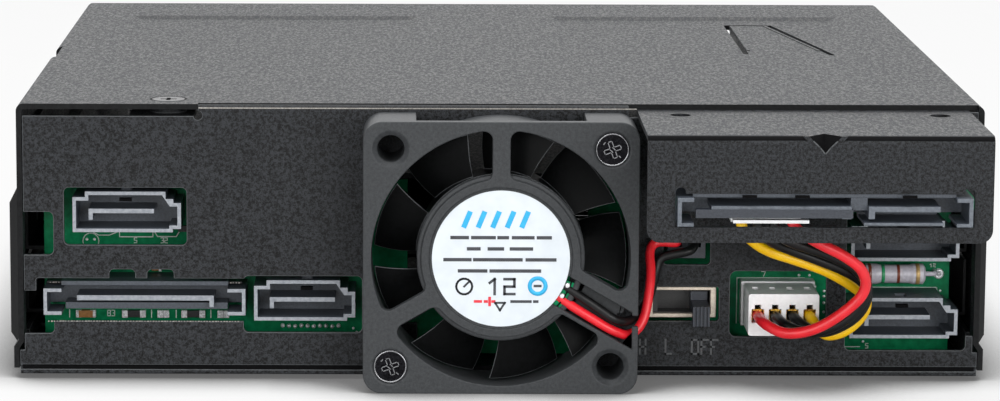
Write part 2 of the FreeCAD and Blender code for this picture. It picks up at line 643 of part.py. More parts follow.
def fan_frame():
    half = FAN / 2
    block = soften(box((-half, half), (-half, half), (0.0, FAN_DEPTH)), 2.8, ALONG_Z)
    plate = block.common(box((-21, 21), (-21, 21), (0.0, 1.6)))
    corners = [box((sx * 12.3, sx * 21), (sz * 12.3, sz * 21), (1.6, FAN_DEPTH)).common(block)
               for sx in (-1, 1) for sz in (-1, 1)]
    duct = rod_w(0, 0, (1.6, FAN_DEPTH), DUCT_R + 0.9)
    body = join(plate, duct, *corners).cut(rod_w(0, 0, (1.6, FAN_DEPTH + 1), DUCT_R))
    through = (-1.0, 3.0)
    windows = [fan_opening((-30, 4.4), (90, SPOKE / 2), through),
               fan_opening((90, SPOKE / 2), (210, SPOKE / 2), through),
               fan_opening((210, SPOKE / 2), (330, 2.6), through)]
    body = body.cut(windows)
    trough = beam(-30, (-4.4, 2.6), (ROTOR_R + 0.5, DUCT_R + 0.6), (1.5, WIRE_LANE_DEPTH + 0.6))
    hub = rod_w(0, 0, (0.5, 2.0), BASE_R).cut(rod_w(0, 0, (0.4, 3.0), BASE_R - 0.8))
    post = rod_w(0, 0, (0.9, 7.4), 3.0).cut(rod_w(0, 0, (1.8, 8.0), 2.0))
    body = join(body, trough, hub, post)
    lane = beam(-30, WIRE_LANE, (8.6, 24.0), (-1.0, WIRE_LANE_DEPTH)).common(box((0, 19.1), (-20, 0), (-2, 3)))
    holes = [lane, rod_w(0, 0, (-1.0, 0.25), 10.4)]
    holes.append(box((18.0, 21.0), (-9.95, -8.4), (-1.0, 1.0)))
    holes.append(box((17.0, 21.0), (-13.4, -8.4), (0.9, 4.9)))
    for su in (-1, 1):
        for sv in (-1, 1):
            holes.append(rod_w(su * FAN_HOLE, sv * FAN_HOLE, (-1.0, FAN_DEPTH + 1), 1.95))
            holes.append(Part.makeCone(2.7, 1.9, 0.8, Vector(su * FAN_HOLE, sv * FAN_HOLE, 0.0)))
    return fan_at(body.cut(holes))


def blade_section(reach, half_chord, lean):
    """Thin cambered section in the plane at a reach from the axis, turned about the axis by a lean."""
    sides = []
    for offset in (-BLADE_THICK / 2, BLADE_THICK / 2):
        line = []
        for share in (-1.0, -0.35, 0.35, 1.0):
            rise = BLADE_MIDDLE + BLADE_RISE * share - 0.55 * (1 - share * share)
            line.append(Vector(reach, half_chord * share, rise + offset))
        sides.append(line)
    edges = []
    for line in sides:
        curve = Part.BSplineCurve()
        curve.interpolate(line)
        edges.append(curve.toShape())
    for end in (0, -1):
        edges.append(Part.makeLine(sides[0][end], sides[1][end]))
    section = Part.Wire(Part.__sortEdges__(edges))
    section.rotate(Vector(0, 0, 0), ALONG_Z, lean)
    return section


def blade(index):
    """One swept blade, trimmed to the hub and to the tip circle."""
    sections = [blade_section(reach, half, lean)
                for reach, half, lean in BLADE_SECTIONS]
    shape = Part.makeLoft(sections, True, False)
    shape = shape.common(rod_w(0, 0, (0.0, 12.0), BLADE_R).cut(rod_w(0, 0, (0.0, 12.0), ROTOR_R - 0.3)))
    shape.rotate(Vector(0, 0, 0), ALONG_Z, BLADE_PHASE + 360.0 * index / BLADES)
    return shape


def fan_impeller():
    cup = rod_w(0, 0, (2.3, 9.3), ROTOR_R).cut(rod_w(0, 0, (2.0, 8.4), ROTOR_R - 0.9))
    boss = rod_w(0, 0, (7.6, 8.6), 2.2)
    wheel = join(cup, boss)
    blades = [blade(i) for i in range(BLADES)]
    return fan_at(join(wheel, *blades).cut(rod_w(0, 0, (7.0, 9.0), SHAFT_R)))


def rotor_magnet():
    return fan_at(rod_w(0, 0, (3.0, 8.3), ROTOR_R - 0.9).cut(rod_w(0, 0, (2.0, 9.0), 10.0)))


def fan_shaft():
    return fan_at(rod_w(0, 0, (2.2, 9.0), SHAFT_R))


def fan_bearing():
    return fan_at(rod_w(0, 0, (1.9, 7.2), 2.0).cut(rod_w(0, 0, (1.0, 8.0), 0.8)))


def stator_coil():
    """Iron core with four wound poles round the bearing post."""
    core = rod_w(0, 0, (3.4, 6.6), 4.4)
    poles = []
    for i in range(4):
        arm = box((3.5, 9.0), (-2.0, 2.0), (3.4, 6.6))
        shoe = rod_w(0, 0, (4.0, 6.2), 9.5).cut(rod_w(0, 0, (3.0, 7.0), 8.4))
        shoe = shoe.common(box((0.0, 12.0), (-5.2, 5.2), (3.0, 7.0)))
        for piece in (arm, shoe):
            piece.rotate(Vector(0, 0, 0), ALONG_Z, 45 + 90 * i)
            poles.append(piece)
    return fan_at(join(core, *poles).cut(rod_w(0, 0, (3.0, 7.0), 3.0)))


def fan_board():
    board = rod_w(0, 0, (2.0, 2.8), 10.6).cut(rod_w(0, 0, (1.0, 4.0), 3.05))
    return fan_at(board)


def hub_label():
    return fan_at(rod_w(0, 0, (0.12, 0.25), 10.0))


def fan_screws():
    screws = []
    for sign in (1, -1):
        x, z = sign * FAN_HOLE, FAN_Z + sign * FAN_HOLE
        head = cone_y(x, (-FAN_DEPTH + 0.1, -FAN_DEPTH + 0.8), z, (2.4, 1.8))
        cross = [box((x - a, x + a), (-FAN_DEPTH - 1, -FAN_DEPTH + 0.6), (z - b, z + b))
                 for a, b in ((1.3, 0.35), (0.35, 1.3))]
        screws.append(join(head, rod_y(x, (-FAN_DEPTH + 0.5, 3.0), z, 1.4)).cut(cross))
    return screws


def fan_wires():
    """Two leads laid in the groove, out of the frame's edge and up to the plug."""
    red = [(8.3, -8.8, 13.55), (10.6, -9.15, 12.05), (13.6, -9.15, 10.2), (16.2, -9.1, 8.6),
           (18.9, -7.8, 7.4), (21.0, -6.8, 9.3), (21.8, -5.6, 13.2), (22.2, -4.0, 16.6), (21.9, -2.4, 19.1),
           (22.8, -1.5, 20.5), (26.1, -1.4, 20.2), (26.1, 0.9, 20.0), (26.15, 3.0, 20.0)]
    black = [(9.3, -8.8, 15.1), (11.6, -9.15, 13.65), (14.5, -9.15, 11.7), (17.0, -9.3, 9.9),
             (19.2, -6.2, 9.4), (21.3, -4.2, 11.0), (22.5, -2.7, 13.8), (23.0, -1.6, 16.3),
             (23.6, -1.4, 18.0), (25.6, -1.3, 18.5), (28.3, -1.3, 19.0), (28.9, 0.8, 20.0), (28.95, 3.0, 20.0)]
    return tube(red, FAN_WIRE), tube(black, FAN_WIRE)


# Adapter for the optical drive

def adapter_bracket():
    """Folded bracket: flat top under the cover, face to the rear, two tabs inside the rear wall."""
    low, high = BRACKET_Z
    y = (-BRACKET_REACH, 0.9 + SHEET)
    outline = [(y[0], low), (y[0] + SHEET, low), (y[0] + SHEET, high - SHEET), (y[1], high - SHEET),
               (y[1], high), (y[0], high)]
    bracket = prism_x(outline, BRACKET_X)
    bracket = soften(bracket, 1.2, ALONG_X, lambda p: p.z > high - 0.1 and p.y < y[0] + 0.1)
    bracket = soften(bracket, 1.9, ALONG_Y, lambda p: p.z < low + 0.1 and p.y < 0)
    tabs = [box(x, (0.9, 0.9 + SHEET), (33.0, high - 0.4)) for x in ((BRACKET_X[0], 21.8), (66.6, BRACKET_X[1]))]
    (x0, x1), (z0, z1) = ADAPTER_SLOT
    cuts = [box((x0, x1), (y[0] - 1, y[0] + 2), (z0, z1)),
            rod_y(x0 + 0.75, (y[0] - 1, y[0] + 2), z1 + 0.15, 0.75),
            rod_y(x1 - 0.75, (y[0] - 1, y[0] + 2), z1 + 0.15, 0.75),
            dart(45.0, 2.3, 2.6, y[0], high)]
    for x, hole_y in STANDOFFS:
        cuts.append(hexagon(x, hole_y, (high - SHEET - 0.1, high + 0.1), 6.4))
    return join(bracket, dart(45.0, 3.2, 3.6, y[0], high), *tabs).cut(cuts)


def dart(x, half, reach, y, z):
    """Four-sided wedge across a bend at y and z: pressed in, it stiffens the corner."""
    left, right = Vector(x - half, y, z), Vector(x + half, y, z)
    down, back = Vector(x, y, z - reach), Vector(x, y + reach, z)
    faces = [face_of([left, right, down]), face_of([left, right, back]),
             face_of([left, down, back]), face_of([right, down, back])]
    return Part.makeSolid(Part.makeShell(faces))


def hexagon(x, y, z, across):
    radius = across / math.sqrt(3)
    corners = [(x + radius * math.cos(math.radians(60 * i)), y + radius * math.sin(math.radians(60 * i)))
               for i in range(6)]
    return prism_z(corners, z)


def clinch_standoffs():
    """Hex-headed standoffs pressed flush into the bracket, to carry the adapter board."""
    parts = []
    for x, y in STANDOFFS:
        head = hexagon(x, y, (BRACKET_Z[1] - SHEET, BRACKET_Z[1]), 6.4)
        barrel = rod_z(x, y, (ADAPTER_BOARD_Z[1], BRACKET_Z[1] - 0.4), 2.7)
        parts.append(join(head, barrel).cut(rod_z(x, y, (20.0, 50.0), 1.5)))
    return parts


def adapter_plug():
    """Twenty-two way drive plug seen in the bracket: end hooks, roof, divider and two tongues."""
    x, z = 24.3, 26.9
    front = -BRACKET_REACH - 1.2

    def at(outline, y):
        return prism_y([(x + a, z + b) for a, b in outline], y)

    hook = [(0, 0), (2.3, 0), (2.3, 0.5), (0.6, 0.5), (0.6, 3.5), (2.3, 3.5), (2.3, 4.1), (0, 4.1)]
    far_hook = [(41.5 - a, b) for a, b in hook]
    roof = at([(2.2, 3.9), (39.3, 3.9), (39.3, 4.45), (2.2, 4.45)], (front + 1.8, -17.0))
    block = at([(0, 0.9), (41.5, 0.9), (41.5, 4.1), (39.3, 4.1), (39.3, 4.45), (2.2, 4.45), (2.2, 4.1),
                (0, 4.1)], (-18.6, -16.2))
    power = at([(4.8, 2.0), (23.2, 2.0), (23.2, 1.0), (24.5, 1.0), (24.5, 2.8), (4.8, 2.8)],
               (front + 0.8, -18.0))
    divider = at([(24.5, 2.0), (26.9, 2.0), (26.9, 4.0), (24.5, 4.0)], (front + 2.2, -18.0))
    signal = at([(26.9, 1.0), (27.8, 1.0), (27.8, 2.0), (37.0, 2.0), (37.0, 2.8), (26.9, 2.8)],
                (front + 0.8, -18.0))
    sill = at([(26.2, 0.15), (37.4, 0.15), (37.4, 0.55), (26.2, 0.55)], (front + 0.4, -18.0))
    sill_back = at([(26.2, 0), (37.4, 0), (37.4, 1.2), (26.2, 1.2)], (-18.6, -17.0))
    ends = [at(hook, (front, -18.0)), at(far_hook, (front, -18.0))]
    return join(block, roof, power, divider, signal, sill, sill_back, *ends)


def adapter_board():
    board = box((22.6, 67.8), (-16.1, -1.2), ADAPTER_BOARD_Z)
    cuts = [rod_z(x, y, (20.0, 40.0), 1.5) for x, y in STANDOFFS]
    return board.cut(cuts)


def adapter_header():
    """Housing under the adapter board that the harness wires rise into."""
    body = box((32.8, 42.8), (HEADER_Y - 1.8, HEADER_Y + 1.8), (25.6, ADAPTER_BOARD_Z[0]))
    return body.cut([rod_z(x, HEADER_Y, (24.0, 28.0), 1.0) for x in HEADER_BORE_X])


def slim_socket():
    """Thirteen-way receptacle that the optical drive's plug enters."""
    body = box((31.0, 60.0), (-5.0, 4.2), (ADAPTER_BOARD_Z[1], 33.6))
    cuts = [box((33.4, 42.0), (0.8, 5.0), (30.5, 32.0)), box((43.8, 57.6), (0.8, 5.0), (30.5, 32.0))]
    return body.cut(cuts)


def harness_wires():
    """Four leads from the plug: out, down to the right, round and back up behind the bracket's face."""
    red = [(38.0, -4.4, 9.6), (38.7, -8.2, 9.3), (41.4, -10.2, 8.2), (45.8, -11.2, 9.2), (50.1, -11.8, 12.2),
           (52.8, -12.2, 15.1), (52.3, -12.7, 18.3), (49.1, -13.7, 20.7), (45.6, -14.4, 22.4), (41.3, -12.6, 24.8)]
    black_1 = [(40.54, -4.0, 9.6), (42.0, -7.6, 8.8), (45.1, -8.8, 8.0), (49.6, -9.4, 9.7),
               (52.4, -9.8, 12.7), (53.4, -10.2, 15.3), (51.8, -10.5, 17.9), (48.4, -10.8, 19.8),
               (44.7, -11.3, 21.2), (40.6, -12.3, 22.6), (38.9, -12.6, 24.8)]
    black_2 = [(43.08, -3.8, 9.6), (45.0, -6.2, 8.2), (47.7, -6.8, 7.8), (51.7, -7.2, 9.9),
               (53.5, -7.6, 12.8), (53.3, -8.0, 15.3), (50.7, -8.5, 17.2), (46.4, -9.0, 19.0),
               (42.1, -9.4, 20.6), (39.0, -10.6, 22.0), (36.6, -12.6, 24.3)]
    yellow = [(45.62, -3.2, 9.65), (46.4, -4.9, 8.4), (47.9, -4.8, 6.9), (50.8, -5.0, 7.7),
              (53.3, -5.2, 10.2), (53.8, -5.6, 12.7), (51.6, -6.2, 14.7), (47.5, -7.0, 17.2),
              (42.9, -8.0, 18.9), (38.5, -8.9, 20.4), (36.0, -10.6, 22.3), (34.3, -12.6, 24.3)]
    wires = []
    for start, line, end in zip(CAVITY_X, (red, black_1, black_2, yellow), HEADER_BORE_X[::-1]):
        top = (end + 0.05, HEADER_Y, ADAPTER_BOARD_Z[0] - 0.1)
        wires.append(tube([(start, -0.6, CAVITY_Z)] + line + [top], WIRE))
    return wires


# Drive trays, drawn for the right column

def tray_pan(low):
    """Thin U-shaped pan that a drive is screwed into from the sides."""
    outer = box(TRAY_X, TRAY_Y, (low, low + TRAY_TALL))
    inner = box((TRAY_X[0] + TRAY_SHEET, TRAY_X[1] - TRAY_SHEET), (TRAY_Y[0] - 1, TRAY_Y[1] + 1),
                (low + TRAY_FLOOR, low + TRAY_TALL + 1))
    cuts = [inner]
    for x in ((8.0, 30.0), (42.0, 64.0)):
        for y in ((30.0, 66.0), (72.0, 108.0)):
            cuts.append(soften(box(x, y, (low - 1, low + 2)), 3.0, ALONG_Z))
    for y in DRIVE_SCREW_Y:
        cuts.append(rod_x((TRAY_X[0] - 1, TRAY_X[1] + 1), y, low + TRAY_FLOOR + 3.0, 1.6))
    cuts.append(box((14.0, 58.0), (17.0, 20.5), (low - 1, low + 2)))
    return outer.cut(cuts)


def tray_front(row):
    """Tray front: a hollow-backed block with air slots, a lever recess and the lever's pivot lugs."""
    middle = front_middle(row)
    if row == 0:
        outline = [(0.7, 1.2), (69.6, 1.2), (69.6, 4.3), (71.4, 5.7), (71.4, 14.5), (0.7, 14.5)]
    else:
        outline = [(0.7, 15.2), (71.4, 15.2), (71.4, 24.2), (69.6, 27.6), (69.6, 27.9), (0.7, 27.9)]
    low, high = outline[0][1], outline[-1][1]
    body = prism_y(outline, FRONT_Y)
    back = FRONT_Y[1] - FRONT_WALL
    cuts = [box((2.2, 62.0), (FRONT_Y[0] - 1, back), (low + 1.2, high - 1.2)),
            box((1.7, 69.2), (126.2, 131.0), (middle - LEVER_HALF - 0.3, middle + LEVER_HALF + 0.3)),
            box((62.6, 69.2), (124.2, 131.0), (middle - LEVER_HALF - 0.3, middle + LEVER_HALF + 0.3)),
            box((2.6, 7.4), (back - 1, 127.0), (middle - 1.4, middle + 1.4)),
            rod_z(PIVOT[0], PIVOT[1], (middle - 4.6, middle + 4.6), PIN_R)]
    for i in range(9):
        x = 11.0 + i * 5.6
        for z in ((low + 1.5, middle - LEVER_HALF - 1.0), (middle + LEVER_HALF + 1.0, high - 1.5)):
            cuts.append(box((x, x + 3.8), (back - 1, 131.0), z))
    return body.cut(cuts)


def front_middle(row):
    return 7.85 if row == 0 else 21.55


def tray_lever(row):
    """Ejector lever: a bar with a knuckle round the pin and a lip at its free end."""
    middle = front_middle(row)
    z = (middle - LEVER_HALF, middle + LEVER_HALF)
    bar = box((9.6, PIVOT[0]), (126.6, LEVER_FRONT_Y), z)
    knuckle = rod_z(PIVOT[0], PIVOT[1], z, KNUCKLE_R)
    lip = box((9.6, 12.4), (129.0, 130.6), z)
    hollow = box((16.0, 58.0), (126.0, 128.2), (z[0] + 0.9, z[1] - 0.9))
    lever = join(bar, knuckle, lip)
    return lever.cut([hollow, rod_z(PIVOT[0], PIVOT[1], (0.0, 40.0), PIN_R + 0.05)])


def tray_pin(row):
    middle = front_middle(row)
    return rod_z(PIVOT[0], PIVOT[1], (middle - 4.6, middle + 4.6), PIN_R)


def tray_latch(row):
    """Sliding catch for the lever's free end, with a stem in the front's slot."""
    middle = front_middle(row)
    button = box((3.0, 9.0), (126.6, LEVER_FRONT_Y), (middle - LEVER_HALF, middle + LEVER_HALF))
    stem = box((4.2, 6.2), (125.4, 126.8), (middle - 1.1, middle + 1.1))
    grooves = [box((x, x + 0.6), (129.4, 131.0), (0.0, 40.0)) for x in (4.2, 5.7, 7.2)]
    return join(button, stem).cut(grooves)


def trays():
    """Four trays: 1 and 2 in the left column, 3 and 4 in the right, the lower one first."""
    for column in (0, 1):
        for row in (0, 1):
            name = "tray_%d" % (1 + column * 2 + row)
            pieces = {
                "pan": tray_pan(ROW_Z[row]),
                "front": tray_front(row),
                "lever": tray_lever(row),
                "pin": tray_pin(row),
                "latch": tray_latch(row),
            }
            for part, shape in pieces.items():
                save(name + "_" + part, shape if column else mirrored(shape))


os.makedirs("parts", exist_ok=True)
save("top_cover", top_cover())
save("base_tray", base_tray())
save("odd_shelf", odd_shelf())
save("bay_divider", bay_divider())
save("cover_screws", *cover_screws())
save("backplane_board", backplane_board())
save("board_screws", *board_screws())
save("drive_sockets", *drive_sockets())
save("data_ports", *[data_port(*port) for port in PORTS])
save("power_inlet", power_inlet())
save("fan_header", fan_header())
save("fan_plug", fan_plug())
save("harness_header", harness_header())
save("harness_plug", harness_plug())
save("switch_frame", switch_frame())
save("switch_housing", switch_housing())
save("switch_knob", switch_knob())
save("bleed_resistor", bleed_resistor())
save("chip_parts", *chip_parts())
save("fan_frame", fan_frame())
save("fan_impeller", fan_impeller())
save("rotor_magnet", rotor_magnet())
save("fan_shaft", fan_shaft())
save("fan_bearing", fan_bearing())
save("stator_coil", stator_coil())
save("fan_board", fan_board())
save("hub_label", hub_label())
save("fan_screws", *fan_screws())
fan_red, fan_black = fan_wires()
save("fan_wire_red", fan_red)
save("fan_wire_black", fan_black)
save("adapter_bracket", adapter_bracket())
save("clinch_standoffs", *clinch_standoffs())
save("adapter_plug", adapter_plug())
save("adapter_board", adapter_board())
save("adapter_header", adapter_header())
save("slim_socket", slim_socket())
for wire_name, wire in zip(("red", "black_1", "black_2", "yellow"), harness_wires()):
    save("harness_wire_" + wire_name, wire)
trays()
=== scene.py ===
# %% [markdown]
# # A hot swap drive cage, dressed for rendering
#
# The cage fills one half-height 5.25-inch bay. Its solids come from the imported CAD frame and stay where
# they are; this script gives them rounded edges, finishes and the small parts that CAD leaves out, such as
# crimps, solder and printing. Each cell says what a piece is on the real object and why it is made
# the way it is.

# %% Load the frame and measure it
import json
import math

import bmesh
import bpy
import numpy as np
from mathutils import Matrix, Vector


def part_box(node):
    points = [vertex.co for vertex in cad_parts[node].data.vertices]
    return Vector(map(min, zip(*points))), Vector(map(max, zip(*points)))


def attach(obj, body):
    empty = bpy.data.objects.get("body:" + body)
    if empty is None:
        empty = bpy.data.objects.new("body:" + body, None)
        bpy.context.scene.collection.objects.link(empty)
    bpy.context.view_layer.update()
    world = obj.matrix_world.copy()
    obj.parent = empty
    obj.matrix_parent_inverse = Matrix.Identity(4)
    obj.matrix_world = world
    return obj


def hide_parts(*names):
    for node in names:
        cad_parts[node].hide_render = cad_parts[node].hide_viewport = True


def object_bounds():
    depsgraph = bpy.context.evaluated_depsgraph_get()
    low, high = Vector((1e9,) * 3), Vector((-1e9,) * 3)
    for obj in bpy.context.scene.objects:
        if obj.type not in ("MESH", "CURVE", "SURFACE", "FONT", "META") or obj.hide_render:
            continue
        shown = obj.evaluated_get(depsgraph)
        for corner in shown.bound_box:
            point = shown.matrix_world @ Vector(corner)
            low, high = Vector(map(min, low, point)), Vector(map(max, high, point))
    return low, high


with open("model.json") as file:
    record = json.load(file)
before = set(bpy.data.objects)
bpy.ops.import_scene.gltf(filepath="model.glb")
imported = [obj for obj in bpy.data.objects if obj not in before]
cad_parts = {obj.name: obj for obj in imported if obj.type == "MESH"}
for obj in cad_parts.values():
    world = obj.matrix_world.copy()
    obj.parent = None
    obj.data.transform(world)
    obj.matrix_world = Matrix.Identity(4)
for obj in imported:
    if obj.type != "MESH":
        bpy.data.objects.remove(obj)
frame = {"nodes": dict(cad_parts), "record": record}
cad_box = [list(corner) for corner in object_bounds()]
MM = 0.001
WALL_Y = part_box("base_tray")[0][1] / MM
print("nodes:", len(frame["nodes"]), "box in mm:", np.round(np.array(cad_box) / MM, 1).tolist())

# %% [markdown]
# ## Camera
#
# The cage is seen from behind, from a little above and a little to the left of its middle, with a long lens.
# The camera is pitched down by some nine degrees and its picture is shifted sideways, so the cage lies off
# the lens's axis and its upright edges draw together a little towards the floor.

# %% Camera
LENS_MM = 138.8
SENSOR_MM = 36.0
SIDE_SHIFT = 0.099  # in widths of the sensor
CLIP_M = (0.05, 20.0)
CAMERA_AT = (-14.5, WALL_Y - 559.3, 119.07)
CAMERA_PITCH = 9.431
CAMERA_ROLL = 0.17

camera = bpy.data.objects.new("camera", bpy.data.cameras.new("camera"))
bpy.context.scene.collection.objects.link(camera)
camera.data.lens = LENS_MM
camera.data.sensor_width = SENSOR_MM
camera.data.shift_x = SIDE_SHIFT
camera.data.clip_start, camera.data.clip_end = CLIP_M
tilt = Matrix.Rotation(math.radians(90 - CAMERA_PITCH), 4, "X")
aim = tilt @ Matrix.Rotation(math.radians(CAMERA_ROLL), 4, "Z")
camera.matrix_world = Matrix.Translation(Vector(CAMERA_AT) * MM) @ aim
bpy.context.scene.camera = camera
bpy.context.scene.view_settings.view_transform = "Standard"
print("camera at", [round(v, 4) for v in camera.matrix_world.translation])

# %% [markdown]
# ## Colours, nodes and pieces
#
# Finishes are written as sRGB hex values, the way a paint chart gives them, and one function turns them to
# the linear values that the renderer works with. One function adds a node; one makes a mesh a piece.

# %% Helpers


def colour(code):
    """'#rrggbb' in sRGB to linear RGBA: c / 12.92 below 0.04045, else ((c + 0.055) / 1.055) ** 2.4."""
    channels = [int(code[i:i + 2], 16) / 255 for i in (1, 3, 5)]
    linear = [c / 12.92 if c <= 0.04045 else ((c + 0.055) / 1.055) ** 2.4 for c in channels]
    return (*linear, 1.0)


def add(tree, kind, inputs=None, **settings):
    """One node with its settings; inputs are values, or outputs of other nodes to link."""
    node = tree.nodes.new(kind)
    for name, value in settings.items():
        setattr(node, name, value)
    for name, value in (inputs or {}).items():
        if isinstance(value, bpy.types.NodeSocket):
            tree.links.new(value, node.inputs[name])
        else:
            node.inputs[name].default_value = value
    return node


def finish_of(name, **shader):
    """An empty material with its shader set; returns the material, its tree and its shader node."""
    material = bpy.data.materials.new(name)
    material.use_nodes = True
    tree = material.node_tree
    bsdf = tree.nodes["Principled BSDF"]
    for socket, value in shader.items():
        bsdf.inputs[socket.replace("_", " ").title().replace("Ior", "IOR")].default_value = value
    return material, tree, bsdf


def grained(name, dark, light, grain_mm, roughness, bump_mm, detail=2.0, mottle=0.5, spread=0.2,
            stretch=1.0, **shader):
    """A surface with fine grain: colour, roughness and height follow one noise of that grain size.

    The colour runs from dark to light and the roughness between its two values while the noise goes from
    0.5 - spread to 0.5 + spread; detail counts the finer layers and mottle says how strong each one stays.
    Grain may be drawn longer from rear to front by a stretch.
    """
    material, tree, bsdf = finish_of(name, **shader)
    place = add(tree, "ShaderNodeTexCoord").outputs["Object"]
    scale = (1.0, 1.0 / stretch, 1.0)
    place = add(tree, "ShaderNodeMapping", {"Vector": place, "Scale": scale}).outputs["Vector"]
    noise = add(tree, "ShaderNodeTexNoise", {"Vector": place, "Scale": 1 / (grain_mm * MM), "Detail": detail,
                                             "Roughness": mottle})
    shade = add(tree, "ShaderNodeValToRGB", {"Fac": noise.outputs["Fac"]})
    low, high = 0.5 - spread, 0.5 + spread
    for element, place_on_ramp, code in zip(shade.color_ramp.elements, (low, high), (dark, light)):
        element.position = place_on_ramp
        element.color = colour(code)
    gloss = add(tree, "ShaderNodeMapRange", {"Value": noise.outputs["Fac"], "From Min": low, "From Max": high,
                                             "To Min": roughness[0], "To Max": roughness[1]})
    bump = add(tree, "ShaderNodeBump", {"Height": noise.outputs["Fac"], "Strength": 1.0,
                                        "Distance": bump_mm * MM})
    tree.links.new(shade.outputs["Color"], bsdf.inputs["Base Color"])
    tree.links.new(gloss.outputs["Result"], bsdf.inputs["Roughness"])
    tree.links.new(bump.outputs["Normal"], bsdf.inputs["Normal"])
    return material


# %% [markdown]
# ## Finishes
#
# Each finish starts from what the real surface is: powder coat on steel, moulded nylon, plated metal,
# solder mask on glass-fibre board, PVC insulation. Grain that is too fine for the picture is drawn as
# coarse as it needs to show, and the comment beside it says so.

# %% Powder coat and metals
# Fine-texture polyester powder coat, cured on steel sheet: the melt leaves pits about 0.15 mm apart. They
# are drawn from 0.5 mm down to 0.06 mm, and three times as long from rear to front, because the top is seen
# from so low that finer grain would vanish there. The pits scatter light, so the sheet looks speckled.
powder_coat = grained("powder_coat", "#000000", "#313336", 0.5, (0.38, 0.70), 0.06, detail=3.0, mottle=0.95,
                      spread=0.09, stretch=3.0, specular_ior_level=0.18)
# Painted shade: the same coat drawn almost black on the cover's faces that look back, such as its sheared
# rear edge, which face away from the light.
painted_edge_shade_coat = grained("painted_edge_shade_coat", "#09090a", "#18191a", 0.4, (0.50, 0.65), 0.02, specular_ior_level=0.12)
# Painted shade: the same coat drawn nearly black, with hardly any sheen, on the bracket's bends that look
# back and up. It also paints the shade in keyways, a groove round the hub, the groove at the wall's foot and
# a cover screw's dimple.
painted_shade_coat = grained("painted_shade_coat", "#050506", "#0c0c0d", 0.5, (0.60, 0.70), 0.01, specular_ior_level=0.04)
# Painted highlight: the coat drawn as a paler line along sheared and moulded edges, where they catch the
# light.
painted_edge_highlight = grained("painted_edge_highlight", "#3c3e40", "#545759", 0.5, (0.45, 0.55), 0.01, specular_ior_level=0.3)
# The trays are coated the same way, with a thinner and smoother film.
tray_coat = grained("tray_coat", "#1a1b1d", "#27292b", 0.50, (0.42, 0.52), 0.02)
# Black oxide on steel screws: a thin dark skin with metal showing through.
black_oxide = grained("black_oxide", "#1b1b1d", "#2b2b2d", 0.25, (0.30, 0.42), 0.01, metallic=0.6)
# Zinc plate over rolled steel, with the faint clouding of its passivation.
zinc_plate = grained("zinc_plate", "#a9a9a3", "#c2c2bd", 0.60, (0.28, 0.40), 0.008, metallic=1.0)
# Black nickel on the fan screws: mirror-like but dark.
black_nickel = grained("black_nickel", "#131315", "#222225", 0.30, (0.20, 0.30), 0.004, metallic=1.0)
# Painted highlight on the fan screws: pale nickel drawn on the rim of each head and as glints along its cross
# recess.
painted_highlight_nickel = grained("painted_highlight_nickel", "#7c7c7e", "#97979a", 0.30, (0.14, 0.22), 0.004, metallic=1.0)
# Nickel on the stamped switch frame; its warm tone comes from the brass below it.
nickel_on_brass = grained("nickel_on_brass", "#c4b8a8", "#dacebe", 0.50, (0.34, 0.46), 0.01, metallic=0.45)
# Ground steel rod for the shaft and the lever pins.
ground_steel = grained("ground_steel", "#b4b4b2", "#c8c8c6", 0.20, (0.18, 0.26), 0.004, metallic=1.0)
# Painted glints: pale steel drawn as broken lines along edges that catch the light.
painted_glint_steel = grained("painted_glint_steel", "#77736e", "#a8a49e", 0.25, (0.35, 0.50), 0.01, metallic=0.4)
# Oil-filled sintered bronze: porous, so it is rough.
sintered_bronze = grained("sintered_bronze", "#7d6338", "#9c7d48", 0.20, (0.45, 0.60), 0.02, metallic=0.9)
# Enamelled copper wire, wound in layers.
enamelled_copper = grained("enamelled_copper", "#8a4a22", "#b8693a", 0.30, (0.25, 0.35), 0.02, metallic=0.9)
# Bonded ferrite: a dull grey ceramic.
bonded_ferrite = grained("bonded_ferrite", "#2a2a2b", "#3a3a3b", 0.25, (0.60, 0.75), 0.015)
# Gold flashed over nickel on the crimps.
gold_flash = grained("gold_flash", "#b88a2e", "#dcb052", 0.40, (0.22, 0.32), 0.004, metallic=1.0)
# Tin-lead solder, frozen bright.
bright_solder = grained("bright_solder", "#dddfe1", "#f2f3f4", 0.35, (0.22, 0.32), 0.002, metallic=0.3)
print("metals and coats:", len(bpy.data.materials))

# %% Moulded plastics, board and insulation
# Glass-filled PBT of the fan: spark-eroded mould texture about 0.2 mm across, drawn at 0.5 mm.
fan_pbt = grained("fan_pbt", "#2b2d2f", "#3e4042", 0.50, (0.46, 0.58), 0.02, detail=3.0, mottle=0.8,
                  specular_ior_level=0.22)
# The same PBT on the rotor, from a polished mould: darker, because less light is scattered.
rotor_pbt = grained("rotor_pbt", "#050606", "#0a0b0c", 0.50, (0.40, 0.50), 0.01, specular_ior_level=0.06)
# Glass-filled nylon of connector bodies: smoother than the fan, with a cold blue-grey tone.
connector_nylon = grained("connector_nylon", "#20242c", "#2d323b", 0.30, (0.32, 0.44), 0.01)
# The data ports and inlets are moulded in a lighter, bluer grade of it.
port_nylon = grained("port_nylon", "#333941", "#454b54", 0.30, (0.36, 0.48), 0.01)
# Painted highlight: the connector nylon drawn pale on a connector's rear rim and the fronts of its tongues,
# the faces that look straight back.
painted_rim_highlight = grained("painted_rim_highlight", "#7c8188", "#989ca2", 0.50, (0.30, 0.40), 0.01)
# A dimmer painted highlight on the same faces of the adapter's plug.
dim_rim_highlight = grained("dim_rim_highlight", "#484e56", "#5f656d", 0.50, (0.40, 0.50), 0.01)
# Unfilled nylon of the plugs: milky white, so light enters it a little.
milky_nylon = grained("milky_nylon", "#ebebec", "#f4f4f5", 0.60, (0.34, 0.44), 0.006, ior=1.53)
